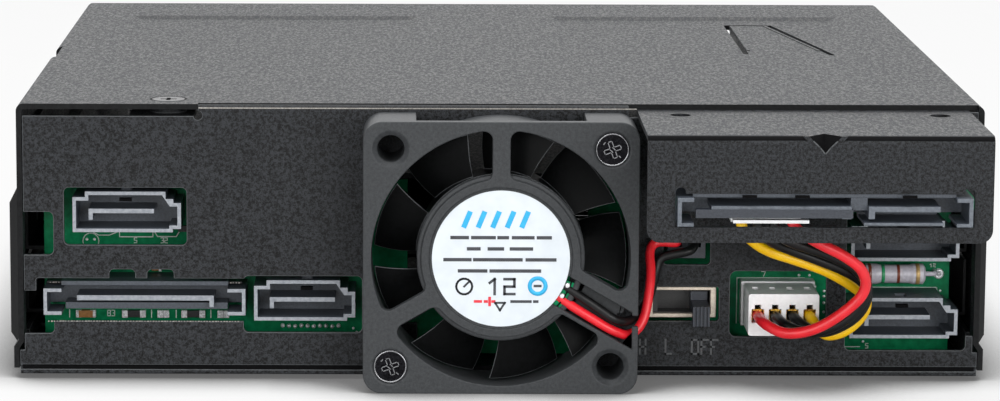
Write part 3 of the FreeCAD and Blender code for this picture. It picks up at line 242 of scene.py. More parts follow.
# ABS of the tray fronts and levers, with a fine moulded grain.
tray_abs = grained("tray_abs", "#1c1c1e", "#262628", 0.40, (0.46, 0.58), 0.02)
# The catches are moulded in a lighter grey ABS.
catch_abs = grained("catch_abs", "#47494c", "#525558", 0.40, (0.44, 0.54), 0.02)
# Clear acrylic light pipe, dim while its lamp is off.
light_pipe = grained("light_pipe", "#5f7f6a", "#7d9c88", 1.0, (0.12, 0.18), 0.002)
# Epoxy of chip resistors and small parts.
chip_epoxy = grained("chip_epoxy", "#141414", "#232323", 0.25, (0.35, 0.45), 0.008)
# Fired ceramic of a chip capacitor: tan and matt.
capacitor_ceramic = grained("capacitor_ceramic", "#8a5a22", "#a8743a", 0.35, (0.45, 0.55), 0.008)
# Green solder mask over glass cloth and copper: glossy film over a faint woven unevenness.
solder_mask = grained("solder_mask", "#056a42", "#0a8454", 1.10, (0.30, 0.42), 0.012,
                      specular_ior_level=0.12)
# Screen-printed epoxy ink on the boards.
legend_ink = grained("legend_ink", "#c2ccc4", "#dde4de", 0.30, (0.5, 0.6), 0.004)
# Pad-printed ink on the wall beside the switch: thin grey, so the coat shows through it.
pad_ink = grained("pad_ink", "#36383a", "#46484a", 0.30, (0.5, 0.6), 0.004)
# Printed vinyl of the hub label and its inks.
label_vinyl = grained("label_vinyl", "#cdd4da", "#d4dbe0", 2.0, (0.34, 0.42), 0.003)
cyan_ink = grained("cyan_ink", "#1f9fd0", "#2cabdb", 1.5, (0.34, 0.42), 0.002)
black_ink = grained("black_ink", "#2e3034", "#3a3c41", 1.5, (0.34, 0.42), 0.002)
red_ink = grained("red_ink", "#cf2030", "#db2c3c", 1.5, (0.34, 0.42), 0.002)
# Lacquer on the resistor's ceramic barrel, and its three colour bands.
barrel_lacquer = grained("barrel_lacquer", "#b0aeb6", "#c4c1ca", 0.50, (0.28, 0.38), 0.012, coat_weight=0.3,
                         coat_roughness=0.2)
green_band = grained("green_band", "#1f8a55", "#2a9a62", 0.50, (0.3, 0.4), 0.006)
brown_band = grained("brown_band", "#6a2f1a", "#7c3a22", 0.50, (0.3, 0.4), 0.006)
gold_band = grained("gold_band", "#a98c58", "#bda06a", 0.50, (0.3, 0.4), 0.006, metallic=0.3)
# Extruded PVC of the leads: smooth, with slow changes along the skin.
red_pvc = grained("red_pvc", "#d81623", "#ea2430", 2.5, (0.30, 0.38), 0.01)
yellow_pvc = grained("yellow_pvc", "#eeb800", "#f8c808", 2.5, (0.30, 0.38), 0.01)
black_pvc = grained("black_pvc", "#0a0a0b", "#131314", 2.5, (0.32, 0.42), 0.01, specular_ior_level=0.28)
print("all finishes:", len(bpy.data.materials))

# %% Which finish each material slot takes
FINISH_OF_SLOT = {
    "powder_steel": powder_coat,
    "black_screw": black_oxide,
    "zinc_steel": zinc_plate,
    "dark_chrome": black_nickel,
    "board_green": solder_mask,
    "black_plastic": connector_nylon,
    "white_nylon": milky_nylon,
    "plated_frame": nickel_on_brass,
    "resistor_enamel": barrel_lacquer,
    "chip_black": chip_epoxy,
    "fan_plastic": fan_pbt,
    "ferrite": bonded_ferrite,
    "polished_steel": ground_steel,
    "bronze": sintered_bronze,
    "copper_winding": enamelled_copper,
    "label_white": label_vinyl,
    "wire_red": red_pvc,
    "wire_black": black_pvc,
    "wire_yellow": yellow_pvc,
    "tray_steel": tray_coat,
    "front_plastic": tray_abs,
    "latch_plastic": catch_abs,
}
SLOT_OF_NODE = {entry["node"]: entry["material_slot"] for entry in frame["record"]["subparts"]}
BODY_OF_NODE = {node: body for body, nodes in frame["record"]["behaviour"]["bodies"].items()
                for node in nodes}
print("slots used:", len(set(SLOT_OF_NODE.values())))

# %% [markdown]
# ## Rounded edges
#
# No real edge is perfectly sharp: sheared sheet, mouldings and machined parts all catch a thin line of
# light. A copy of each solid is merged into whole faces, its real edges are marked, and a Bevel modifier
# rounds them by the amount that its way of making leaves.

# %% Copies of the solids with rounded edges
SHARP = math.radians(28)   # an edge that turns by more than this is a real edge
FLAT = math.radians(0.6)   # facets that turn by less than this are one flat
WELD_MM = 0.002            # loose corners closer than this are one corner


def piece(name, mesh, node, *materials):
    """A mesh becomes a piece: it takes materials and rides on the node's body."""
    made = bpy.data.objects.new(name, mesh)
    bpy.context.scene.collection.objects.link(made)
    for material in materials:
        mesh.materials.append(material)
    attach(made, BODY_OF_NODE[node])
    return made


def merged_copy(node, join_flats):
    """A node's loose triangles as one closed mesh with its sharp edges marked, flat areas joined if asked."""
    shape = bmesh.new()
    shape.from_mesh(frame["nodes"][node].data)
    bmesh.ops.remove_doubles(shape, verts=shape.verts, dist=WELD_MM * MM)
    if join_flats:
        bmesh.ops.dissolve_limit(shape, angle_limit=FLAT, verts=shape.verts, edges=shape.edges)
    for edge in shape.edges:
        edge.smooth = edge.is_manifold and edge.calc_face_angle(0.0) < SHARP
    for face in shape.faces:
        face.smooth = True
    mesh = bpy.data.meshes.new(node + "_rounded")
    shape.to_mesh(mesh)
    shape.free()
    return mesh


def rounded(node, width_mm, finish=None, edge_finish=None):
    """A piece that stands for a node, its sharp edges rounded by a width in millimetres.

    The rounding may have a finish of its own. With no width the edges stay sharp, and only the shading of
    bends and flats is evened out.
    """
    mesh = merged_copy(node, join_flats=width_mm > 0)
    made = piece(node + "_finished", mesh, node, finish or FINISH_OF_SLOT[SLOT_OF_NODE[node]])
    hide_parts(node)
    if width_mm == 0:
        made.modifiers.new("even shading", "WEIGHTED_NORMAL").keep_sharp = True
        return made
    bevel = made.modifiers.new("edges", "BEVEL")
    bevel.width = width_mm * MM
    bevel.segments = 2
    bevel.limit_method = "ANGLE"
    bevel.angle_limit = SHARP
    bevel.use_clamp_overlap = False
    bevel.harden_normals = True
    if edge_finish:
        mesh.materials.append(edge_finish)
        bevel.material = 1
    return made


EDGE_MM = {
    "top_cover": 0, "base_tray": 0.10, "adapter_bracket": 0, "fan_frame": 0.18, "data_ports": 0.06,
    "power_inlet": 0.06, "adapter_plug": 0.06, "harness_plug": 0.10, "harness_header": 0.08,
    "switch_frame": 0.10, "switch_knob": 0.05, "backplane_board": 0.05, "fan_header": 0.06,
    "fan_plug": 0.06, "drive_sockets": 0.10,
}
FINISH_OF_NODE = {"data_ports": port_nylon, "power_inlet": port_nylon, "adapter_plug": port_nylon}
# The base tray's rounded edges take the painted highlight as their finish.
EDGE_FINISH = {"base_tray": painted_edge_highlight}
for tray in range(1, 5):
    EDGE_MM.update({f"tray_{tray}_front": 0.15, f"tray_{tray}_lever": 0.20, f"tray_{tray}_latch": 0.12,
                    f"tray_{tray}_pan": 0.08})
finished = {node: rounded(node, width, FINISH_OF_NODE.get(node), EDGE_FINISH.get(node))
            for node, width in EDGE_MM.items()}
# The impeller's rounded blade edges take the same painted highlight.
finished["fan_impeller"] = rounded("fan_impeller", 0.10, rotor_pbt, painted_edge_highlight)
print("rounded pieces:", len(finished))

# %% [markdown]
# The rear rims of the connectors, and the fronts of their tongues, get a painted highlight. Rather than lay
# plates over them, the faces of the rounded copies that look straight back and lie within a stated depth take
# a second, paler finish that paints it.

# %% Painted highlight on the connectors' rims
STRAIGHT_BACK = -0.9  # a face whose normal has less y than this looks straight back
RIMS = {"data_ports": (1.4, painted_rim_highlight), "power_inlet": (1.5, painted_rim_highlight),
        "adapter_plug": (-25.3, dim_rim_highlight)}
for node, (depth, finish) in RIMS.items():
    mesh = finished[node].data
    mesh.materials.append(finish)
    for face in mesh.polygons:
        rim = face.normal.y < STRAIGHT_BACK and face.center.y < (WALL_Y + depth) * MM
        face.material_index = 1 if rim else 0
    print(node, "rim faces:", sum(face.material_index for face in mesh.polygons))

# %% Painted shade on the bracket's bends and on the cover's sheared edges
BEND = (-0.35, 0.45)  # a bend's faces look back and up: their normals' y is below, and z above, these
SHEARED = -0.3        # a sheared rear edge looks back by more than this
bent, sheared = finished["adapter_bracket"].data, finished["top_cover"].data
bent.materials.append(painted_shade_coat)
for face in bent.polygons:
    face.material_index = int(face.normal.y < BEND[0] and face.normal.z > BEND[1])
sheared.materials.append(painted_edge_shade_coat)
for face in sheared.polygons:
    face.material_index = int(face.normal.y < SHEARED)
print("bend faces:", sum(face.material_index for face in bent.polygons),
      "sheared faces:", sum(face.material_index for face in sheared.polygons))

# %% Finishes on the solids that stay as they are
for node, solid in frame["nodes"].items():
    if node not in finished:
        finish = chip_epoxy if node == "switch_housing" else FINISH_OF_SLOT[SLOT_OF_NODE[node]]
        solid.data.materials.clear()
        solid.data.materials.append(finish)
print("solids kept:", len(frame["nodes"]) - len(finished))

# %% [markdown]
# ## Leads
#
# Six insulated leads run between plugs, each held at both ends, and keep the curve that they were pushed
# into. Each is one smooth curve through the air, given by a few control points, with a round section.

# %% Leads
LEADS = {
    "fan_wire_red": (1.4, red_pvc, [
        (8.3, -8.8, 13.55), (10.6, -9.15, 12.05), (13.6, -9.15, 10.2), (16.2, -9.1, 8.6), (18.9, -7.8, 7.4),
        (21.0, -6.8, 9.3), (21.8, -5.6, 13.2), (22.2, -4.0, 16.6), (21.9, -2.4, 19.1), (22.8, -1.5, 20.5),
        (26.1, -1.4, 20.2), (26.1, 0.9, 20.0), (26.15, 3.0, 20.0)]),
    "fan_wire_black": (1.4, black_pvc, [
        (9.3, -8.8, 15.1), (11.6, -9.15, 13.65), (14.5, -9.15, 11.7), (17.0, -9.3, 9.9), (19.2, -6.2, 9.4),
        (21.3, -4.2, 11.0), (22.5, -2.7, 13.8), (23.0, -1.6, 16.3), (23.6, -1.4, 18.0), (25.6, -1.3, 18.5),
        (28.3, -1.3, 19.0), (28.9, 0.8, 20.0), (28.95, 3.0, 20.0)]),
    "harness_wire_red": (1.6, red_pvc, [
        (38.0, -0.6, 9.7), (38.0, -4.4, 9.6), (38.7, -8.2, 9.3), (41.4, -10.2, 8.2), (45.8, -11.2, 9.2),
        (50.1, -11.8, 12.2), (52.8, -12.2, 15.1), (52.3, -12.7, 18.3), (49.1, -13.7, 20.7),
        (45.6, -14.4, 22.4), (41.3, -12.6, 24.8), (41.35, -12.6, 27.7)]),
    "harness_wire_black_1": (1.6, black_pvc, [
        (40.54, -0.6, 9.7), (40.54, -4.0, 9.6), (42.0, -7.6, 8.8), (45.1, -8.8, 8.0), (49.6, -9.4, 9.7),
        (52.4, -9.8, 12.7), (53.4, -10.2, 15.3), (51.8, -10.5, 17.9), (48.4, -10.8, 19.8),
        (44.7, -11.3, 21.2), (40.6, -12.3, 22.6), (38.9, -12.6, 24.8), (38.95, -12.6, 27.7)]),
    "harness_wire_black_2": (1.6, black_pvc, [
        (43.08, -0.6, 9.7), (43.08, -3.8, 9.6), (45.0, -6.2, 8.2), (47.7, -6.8, 7.8), (51.7, -7.2, 9.9),
        (53.5, -7.6, 12.8), (53.3, -8.0, 15.3), (50.7, -8.5, 17.2), (46.4, -9.0, 19.0), (42.1, -9.4, 20.6),
        (39.0, -10.6, 22.0), (36.6, -12.6, 24.3), (36.65, -12.6, 27.7)]),
    "harness_wire_yellow": (1.6, yellow_pvc, [
        (45.62, -0.6, 9.7), (45.62, -3.2, 9.65), (46.4, -4.9, 8.4), (47.9, -4.8, 6.9), (50.8, -5.0, 7.7),
        (53.3, -5.2, 10.2), (53.8, -5.6, 12.7), (51.6, -6.2, 14.7), (47.5, -7.0, 17.2), (42.9, -8.0, 18.9),
        (38.5, -8.9, 20.4), (36.0, -10.6, 22.3), (34.3, -12.6, 24.3), (34.35, -12.6, 27.7)]),
}


def lead(node, diameter, material, points):
    """One insulated lead: a quadratic NURBS curve whose control points are in millimetres from the wall."""
    curve = bpy.data.curves.new(node + "_lead", "CURVE")
    curve.dimensions = "3D"
    curve.bevel_depth = diameter / 2 * MM
    curve.bevel_resolution = 6
    curve.resolution_u = 12
    curve.use_fill_caps = True
    spline = curve.splines.new("NURBS")
    spline.points.add(len(points) - 1)
    for control, (x, y, z) in zip(spline.points, points):
        control.co = (x * MM, (y + WALL_Y) * MM, z * MM, 1.0)
    spline.order_u = 3
    spline.use_endpoint_u = True
    made = bpy.data.objects.new(node + "_lead", curve)
    bpy.context.scene.collection.objects.link(made)
    curve.materials.append(material)
    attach(made, "case")
    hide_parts(node)
    line = curve.splines[0].calc_length()
    return line


for node, (diameter, material, points) in LEADS.items():
    print(node, "length in mm:", round(lead(node, diameter, material, points) / MM, 1))

# %% [markdown]
# ## Small parts as arrays
#
# Pads, chips, beads and printed lines are many and simple, so each kind is one mesh worked out as a whole
# array: a box per row, a bar per printed run, or one profile turned round many centres. All places are in
# millimetres, with y measured from the rear face of the wall and the boards and labels facing the rear.

# %% Builders
BOARD_FACE = 9.0
LABEL_FACE = -9.88
HUB_Z = 19.3
INK_MM = 0.03        # how far a print stands out of its face
INK_ROOT_MM = 0.02   # how far its back lies inside
CORNER_BITS = np.array([[k & 1, k >> 1 & 1, k >> 2 & 1] for k in range(8)])
BOX_FACES = np.array([[0, 4, 6, 2], [1, 3, 7, 5], [0, 1, 5, 4], [2, 6, 7, 3], [0, 2, 3, 1], [4, 5, 7, 6]])


def built(name, node, material, points, faces, smooth=False):
    """A piece from points in millimetres from the wall, merged where poles meet, its faces turned outward."""
    mesh = bpy.data.meshes.new(name)
    places = (np.asarray(points, float).reshape(-1, 3) + (0.0, WALL_Y, 0.0)) * MM
    mesh.from_pydata(places.tolist(), [], np.asarray(faces).reshape(-1, 4).tolist())
    shape = bmesh.new()
    shape.from_mesh(mesh)
    bmesh.ops.remove_doubles(shape, verts=shape.verts, dist=0.001 * MM)
    bmesh.ops.recalc_face_normals(shape, faces=shape.faces)
    for face in shape.faces:
        face.smooth = smooth
    shape.to_mesh(mesh)
    shape.free()
    return piece(name, mesh, node, material)


def blocks(name, node, material, boxes):
    """Boxes in one mesh: each row is x0, x1, y0, y1, z0, z1.

    Corner k takes the low or high end of x, y and z by the bits of k.
    """
    ends = np.asarray(boxes, float).reshape(-1, 3, 2)
    corners = ends[:, np.arange(3), CORNER_BITS]
    faces = BOX_FACES + 8 * np.arange(len(ends))[:, None, None]
    return built(name, node, material, corners, faces)


def printed(name, node, material, runs, width, face_y):
    """Printed lines: each row x0, z0, x1, z1 is a thin bar on a face, longer than its run by its width.

    Corner = end of the run + half a width along it, + or - half a width across it, on and above the face.
    """
    runs = np.asarray(runs, float).reshape(-1, 2, 2)
    along = runs[:, 1] - runs[:, 0]
    along /= np.linalg.norm(along, axis=1, keepdims=True)
    across = np.stack([-along[:, 1], along[:, 0]], axis=1)
    end = CORNER_BITS[:, 0]
    side = CORNER_BITS[:, 2] * 2 - 1
    flat = (runs[:, end] + (end * 2 - 1)[None, :, None] * along[:, None] * width / 2
            + side[None, :, None] * across[:, None] * width / 2)
    depth = face_y + np.where(CORNER_BITS[:, 1] == 1, INK_ROOT_MM, -INK_MM)
    points = np.stack([flat[..., 0], np.broadcast_to(depth, flat.shape[:2]), flat[..., 1]], axis=-1)
    return built(name, node, material, points, BOX_FACES + 8 * np.arange(len(runs))[:, None, None])


def turned(name, node, material, centres, profile, steps=20, axis="y"):
    """One closed profile of (radius, along) points turned round an axis through each centre.

    Point = centre + along * axis + radius * (cos t, sin t) across it, for t once round.
    """
    centres = np.asarray(centres, float).reshape(-1, 3)
    radius, along = np.asarray(profile, float).T
    t = np.linspace(0, 2 * math.pi, steps, endpoint=False)
    shape = (len(centres), len(radius), steps)
    round_a = np.broadcast_to(radius[:, None] * np.cos(t), shape)
    round_b = np.broadcast_to(radius[:, None] * np.sin(t), shape)
    straight = np.broadcast_to(along[:, None], shape)
    order = {"x": (straight, round_a, round_b), "y": (round_a, straight, round_b),
             "z": (round_a, round_b, straight)}[axis]
    points = np.stack(order, axis=-1) + centres[:, None, None, :]
    i, j = np.meshgrid(np.arange(len(radius)), np.arange(steps), indexing="ij")
    i_next, j_next = (i + 1) % len(radius), (j + 1) % steps
    quads = np.stack([i * steps + j, i * steps + j_next,
                      i_next * steps + j_next, i_next * steps + j], axis=-1)
    faces = quads.reshape(1, -1, 4) + (len(radius) * steps * np.arange(len(centres)))[:, None, None]
    return built(name, node, material, points, faces, smooth=True)


def arc(name, node, material, radii, degrees, depths, steps=24):
    """Part of a flat ring about the hub: corner = hub + r (cos a, sin a) for both radii, at both depths."""
    a = np.radians(np.linspace(*degrees, steps + 1))[:, None]
    r = np.array([radii[0], radii[1], radii[1], radii[0]])
    y = np.broadcast_to(np.array([depths[0], depths[0], depths[1], depths[1]]), (steps + 1, 4))
    points = np.stack([r * np.cos(a), y, HUB_Z + r * np.sin(a)], axis=-1)
    i, j = np.meshgrid(np.arange(steps), np.arange(4), indexing="ij")
    sides = np.stack([4 * i + j, 4 * i + (j + 1) % 4, 4 * i + 4 + (j + 1) % 4, 4 * i + 4 + j], axis=-1)
    ends = np.array([[0, 1, 2, 3], [4 * steps, 4 * steps + 1, 4 * steps + 2, 4 * steps + 3]])
    return built(name, node, material, points, np.concatenate([sides.reshape(-1, 4), ends]))


def dome(radius, height):
    """Profile of a solder dome: half an ellipse from its tip to its foot, closed across the foot."""
    t = np.linspace(0, math.pi / 2, 5)
    return [(radius * math.sin(a), -height * math.cos(a)) for a in t] + [(0.0, 0.0)]


def path(*corners):
    """Runs of a printed line that passes through the corners."""
    return [(*a, *b) for a, b in zip(corners, corners[1:])]


def circle(x, z, radius, steps=18):
    """Runs of a printed circle: corner = centre + radius * (cos t, sin t), for t once round."""
    t = np.radians(np.linspace(0, 360, steps + 1))
    return path(*zip(x + radius * np.cos(t), z + radius * np.sin(t)))


GLYPHS = {  # strokes of plain letters and digits as corners on a grid 2 wide and 4 high
    "H": ("0004", "2024", "0222"), "L": ("040020",), "O": ("0004242000",), "F": ("000424", "0212"),
    "1": ("031410",), "2": ("042422020020",), "3": ("04242000", "1222"), "5": ("240402222000",),
    "7": ("042410",), "8": ("0004242000", "0222"),
}


def word(text, x, z, height, stretch=1.0):
    """Runs that write a word from its low left corner; a letter is half as wide as it is high."""
    runs = []
    for place, letter in enumerate(text):
        for stroke in GLYPHS[letter]:
            corners = [(x + (int(a) + 3 * place) * height * stretch / 4, z + int(b) * height / 4)
                       for a, b in zip(stroke[::2], stroke[1::2])]
            runs += path(*corners)
    return runs


print("glyphs:", "".join(GLYPHS))

# %% [markdown]
# ## On the boards
#
# Through the openings one sees the green backplane: chip parts with tinned ends, solder on the pins of the
# connectors, plated vias, and white outlines that show where each part goes. Chips lie in the solids; only
# their tinned ends, and the parts too small for CAD, are added here.

# %% Chip ends, solder and vias
CHIP_ROW_Z = (6.9, 8.0)
CHIPS_X = ((-61.7, 2.8), (-54.5, 3.4), (-50.1, 1.6), (-45.6, 3.4), (-41.1, 1.6))
CAP_IN = 0.35    # from a chip's end to the middle of its tinned cap
CAP_HALF = 0.42
ends = [(x + side * (w / 2 - CAP_IN) - CAP_HALF, x + side * (w / 2 - CAP_IN) + CAP_HALF,
         BOARD_FACE - 0.86, BOARD_FACE + 0.1, *CHIP_ROW_Z) for x, w in CHIPS_X for side in (-1, 1)]
blocks("chip_ends", "chip_parts", bright_solder, ends)
blocks("chip_capacitor", "chip_parts", capacitor_ceramic,
       [(-62.75, -60.65, BOARD_FACE - 0.9, BOARD_FACE + 0.1, 6.93, 7.97),
        (-51.75, -50.75, BOARD_FACE - 0.7, BOARD_FACE + 0.1, 14.0, 14.7)])
blocks("bump_capacitor_end", "backplane_board", bright_solder,
       [(-50.75, -50.35, BOARD_FACE - 0.75, BOARD_FACE + 0.1, 13.95, 14.75)])
port_pins = [(-32.2 + 0.93 * k, BOARD_FACE, 5.6 - 0.05 * (k % 3)) for k in range(10)]
turned("port_solder", "backplane_board", bright_solder, port_pins, dome(0.34, 0.35), steps=12)
vias = [(x, BOARD_FACE, z) for x, z in (
    (49.0, 11.1), (49.0, 10.3), (49.0, 9.3), (49.0, 7.9), (45.2, 13.5), (46.75, 13.5), (47.2, 12.5),
    (47.6, 11.75), (-61.5, 18.65), (-60.35, 18.65), (66.4, 11.2), (63.8, 16.2), (-21.6, 5.2), (-21.1, 4.6),
    (-65.5, 21.0), (67.0, 16.8), (55.0, 3.4))]
turned("vias", "backplane_board", bright_solder, vias, dome(0.22, 0.12), steps=10)
turned("lead_solder", "backplane_board", bright_solder, [(66.1, BOARD_FACE, 13.8)],
       [(0.30, -0.10), (0.55, -0.30), (0.80, -0.05), (0.80, 0.05), (0.30, 0.05)])
turned("lead_joint", "backplane_board", bright_solder, [(66.1, BOARD_FACE, 13.8)], dome(0.30, 0.45), steps=12)
print("tinned ends:", len(ends), "vias:", len(vias))

# %% White outlines and plain numbers
legend = (path((35.9, 6.2), (35.9, 13.1), (46.0, 13.1))
          + path((-56.6, 19.8), (-56.6, 19.05), (-51.6, 19.05), (-51.6, 19.8))
          + path((-51.3, 19.7), (-50.9, 19.1), (-48.1, 19.1), (-47.7, 19.8))
          + path((-60.5, 19.7), (-59.7, 19.3), (-58.1, 19.3), (-56.9, 19.8))
          + circle(-60.9, 18.4, 1.2) + path((56.3, 11.7), (65.9, 11.7), (65.9, 11.2))
          + path((56.3, 11.05), (58.2, 11.05)) + path((61.9, 11.0), (63.7, 11.0))
          + path((51.5, 4.4), (51.5, 2.6), (54.5, 2.6)) + path((53.0, 16.9), (53.0, 11.9), (54.0, 11.9))
          + [(x, 6.8, x, 7.9) for x in (-51.9, -48.2, -43.0, -64.2)]
          + word("5", -54.4, 18.15, 0.75) + word("32", -50.4, 18.15, 0.75) + word("83", -58.5, 7.0, 0.85)
          + word("7", 39.6, 13.35, 0.7, 1.6) + word("12", 64.8, 14.85, 0.45, 1.4) + word("5", 55.4, 2.4, 0.7))
printed("board_legend", "backplane_board", legend_ink, legend, 0.13, BOARD_FACE)
print("legend runs:", len(legend))

# %% [markdown]
# The connectors' roofs have small keyways, drawn as dark blocks that paint the shade inside them, and ledges
# of the same nylon close them below the tongues.

# %% Keyways and ledges
PORT_CORNERS = ((-62.9, 21.2), (-36.2, 8.0), (51.9, 5.6), (51.9, 17.2))
blocks("port_keyway_shade", "data_ports", painted_shade_coat,
       [(x + 6.9, x + 8.7, 0.95, 1.9, z + 4.55, z + 5.0) for x, z in PORT_CORNERS])
blocks("adapter_keyway_shade", "adapter_plug", painted_shade_coat,
       [(24.3 + x, 24.3 + x + 2.0, -26.19, -25.5, 31.0, 31.34) for x in (9.1, 16.5, 31.6)])
blocks("inlet_ledge", "power_inlet", port_nylon, [(-64.2, -40.2, 2.6, 8.9, 9.35, 10.3)])
blocks("adapter_ledge", "adapter_plug", connector_nylon, [(26.9, 49.0, -25.6, -24.3, 28.05, 29.25)])
blocks("inlet_cover_strip", "power_inlet", black_oxide, [(-67.0, -38.1, 3.6, 8.95, 13.0, 13.3)])
print("keyways and ledges added")

# %% [markdown]
# ## Resistor bands
#
# The resistor's value is painted on as rings. Each ring is a short sleeve, turned round the barrel's own axis
# and a fiftieth of a millimetre proud of the lacquer.

# %% Resistor bands
RESISTOR_AXIS = (0.0, 6.4, 14.25)


def band(name, material, start, end, radius):
    """A painted ring between two places along the barrel."""
    turned(name, "bleed_resistor", material, [RESISTOR_AXIS],
           [(radius, start), (radius + 0.03, start + 0.02), (radius + 0.03, end - 0.02), (radius, end),
            (radius - 0.1, end), (radius - 0.1, start)], steps=40, axis="x")


band("first_band", green_band, 57.1, 57.6, 1.38)
band("second_band", brown_band, 59.4, 59.85, 1.38)
band("tolerance_band", gold_band, 62.2, 62.8, 1.55)
band("end_band", brown_band, 55.1, 55.6, 1.55)

# %% [markdown]
# ## Crimps, strips, painted glints and painted shade
#
# Inside each cavity of the white plug a gold-flashed crimp grips the lead. A white strip of nylon closes the
# adapter's header below the plug. Along the long opening, on the inlet's roof and along the wall's top, pale
# lines of steel paint the glints of edges that catch the light, broken unevenly; thin strips paint the shade
# in the groove at the wall's foot and the highlights on the bracket's dart.

# %% Crimps, strip, painted glints and painted shade
CAVITIES_X = (38.0, 40.54, 43.08, 45.62)
crimps = [(x - 0.66, x + 0.66, -2.75, -0.8, 10.36, 10.58) for x in CAVITIES_X]
crimps += [(x + side * 0.86 - 0.06, x + side * 0.86 + 0.06, -2.6, -0.8, 8.9, 10.4)
           for x in CAVITIES_X for side in (-1, 1)]
blocks("crimps", "harness_plug", gold_flash, crimps)
blocks("header_strip", "adapter_header", milky_nylon, [(32.3, 43.0, -24.1, -22.6, 27.05, 27.5)])
# A painted glint is 0.35 to 0.8 of a step long, by |sin 2.1 k cos 0.7 k|, so the line is broken unevenly.
count = 68
step = 28.4 / count
k = np.arange(count)
low = -66.6 + k * step
length = step * (0.35 + 0.45 * np.abs(np.sin(2.1 * k) * np.cos(0.7 * k)))
beads = np.stack([low, low + length, np.full(count, 0.02), np.full(count, 0.30),
                  np.full(count, 7.83), np.full(count, 8.0)], axis=1)
blocks("opening_edge_glints", "base_tray", painted_glint_steel, beads)
beads[:, 2:] = (3.45, 3.65, 13.05, 13.22)
beads[(low > -64.5) & (low < -40.3), 2:] = (1.93, 2.1, 13.38, 13.54)
blocks("strip_edge_glints", "power_inlet", painted_glint_steel, beads)
# A painted highlight along the wall's top, below the cover's rear edge.
blocks("cover_seam_glint", "base_tray", painted_glint_steel, [(-44.2, 20.0, -0.03, 0.05, 39.74, 39.90)])
# Painted shade: a dark strip in the groove at the foot of the rear wall.
blocks("foot_groove_shade", "base_tray", painted_shade_coat, [(-70.4, 70.4, -0.02, 0.05, 0.78, 1.42)])
# Painted highlights: pale lines along the edges of the bracket's dart.
DART = ((43.35, 38.85), (44.25, 38.0), (45.0, 37.05), (45.75, 38.0), (46.65, 38.85))
printed("dart_edge_highlights", "adapter_bracket", painted_edge_highlight, path(*DART), 0.16, -25.0)
print("crimps:", len(crimps), "bare spots:", 2 * count)

# %% [markdown]
# ## Marks
#
# The switch has its positions printed beside it. The fan's label is plain: five slanted strokes, bars as
# long as words where data would stand, the voltage, a small triangle, and the signs of the two leads.

# %% Marks beside the switch and on the hub
marks = word("H", 20.9, 3.3, 2.1, 0.8) + word("L", 24.7, 3.3, 2.1, 0.8) + word("OFF", 28.6, 3.3, 2.1, 0.9)
printed("switch_marks", "base_tray", pad_ink, marks, 0.28, 0.0)
LINES = ((3.1, ((-7.1, -4.9), (-4.1, -1.0), (-0.3, 0.9), (1.8, 4.6), (5.4, 7.1))),
         (1.45, ((-4.7, -3.2), (-1.7, 0.2), (1.5, 4.4))),
         (-0.15, ((-8.1, -4.5), (-3.8, 2.9), (3.8, 7.8))),
         (-1.8, ((-6.0, -2.2), (-1.4, 5.6))))
rules = [(start, HUB_Z + z, end, HUB_Z + z) for z, words in LINES for start, end in words]
slants = [(-5.3 + 2.1 * n, HUB_Z + 4.9, -4.6 + 2.1 * n, HUB_Z + 6.6) for n in range(5)]
printed("label_rules", "hub_label", black_ink, rules, 0.50, LABEL_FACE)
printed("label_slants", "hub_label", cyan_ink, slants, 0.75, LABEL_FACE)
printed("label_number", "hub_label", black_ink, word("12", -1.6, HUB_Z - 5.2, 2.2, 1.3), 0.38, LABEL_FACE)
printed("label_ring", "hub_label", black_ink,
        circle(-5.3, HUB_Z - 4.1, 1.15) + path((-5.3, HUB_Z - 4.1), (-4.7, HUB_Z - 3.5)), 0.30, LABEL_FACE)
turned("label_dot", "hub_label", cyan_ink, [(5.35, LABEL_FACE, HUB_Z - 4.0)],
       [(0.85, -INK_MM), (1.45, -INK_MM), (1.45, INK_ROOT_MM), (0.85, INK_ROOT_MM)], steps=32)
printed("label_dot_bar", "hub_label", black_ink, [(4.95, HUB_Z - 4.0, 5.75, HUB_Z - 4.0)], 0.35, LABEL_FACE)
plus = [(-1.6, -6.8, -1.6, -5.8), (-2.25, -6.3, -2.05, -6.3), (-1.15, -6.3, -0.95, -6.3),
        (-3.7, -6.3, -2.9, -6.3)]
minus = [(1.6, -6.3, 4.3, -6.3), (4.9, -6.3, 5.3, -6.3)]
for name, ink, runs in (("label_plus", red_ink, plus), ("label_minus", black_ink, minus)):
    printed(name, "hub_label", ink, [(a, HUB_Z + b, c, HUB_Z + d) for a, b, c, d in runs], 0.40, LABEL_FACE)
TRIANGLE = ((-0.8, HUB_Z - 6.5), (0.6, HUB_Z - 6.5), (-0.1, HUB_Z - 7.6), (-0.8, HUB_Z - 6.5))
printed("label_arrow", "hub_label", black_ink, path(*TRIANGLE), 0.3, LABEL_FACE)

# %% [markdown]
# ## Fan screws and solder at the hub
#
# The screw heads are dark; a thin turned ring of pale nickel paints the highlight on each rim, and thin pale
# lines paint the glints along each cross recess. A dark ring paints the shade of the groove round the hub. At
# the inner end of the wire groove the fan's own board shows a corner, where both leads are soldered.

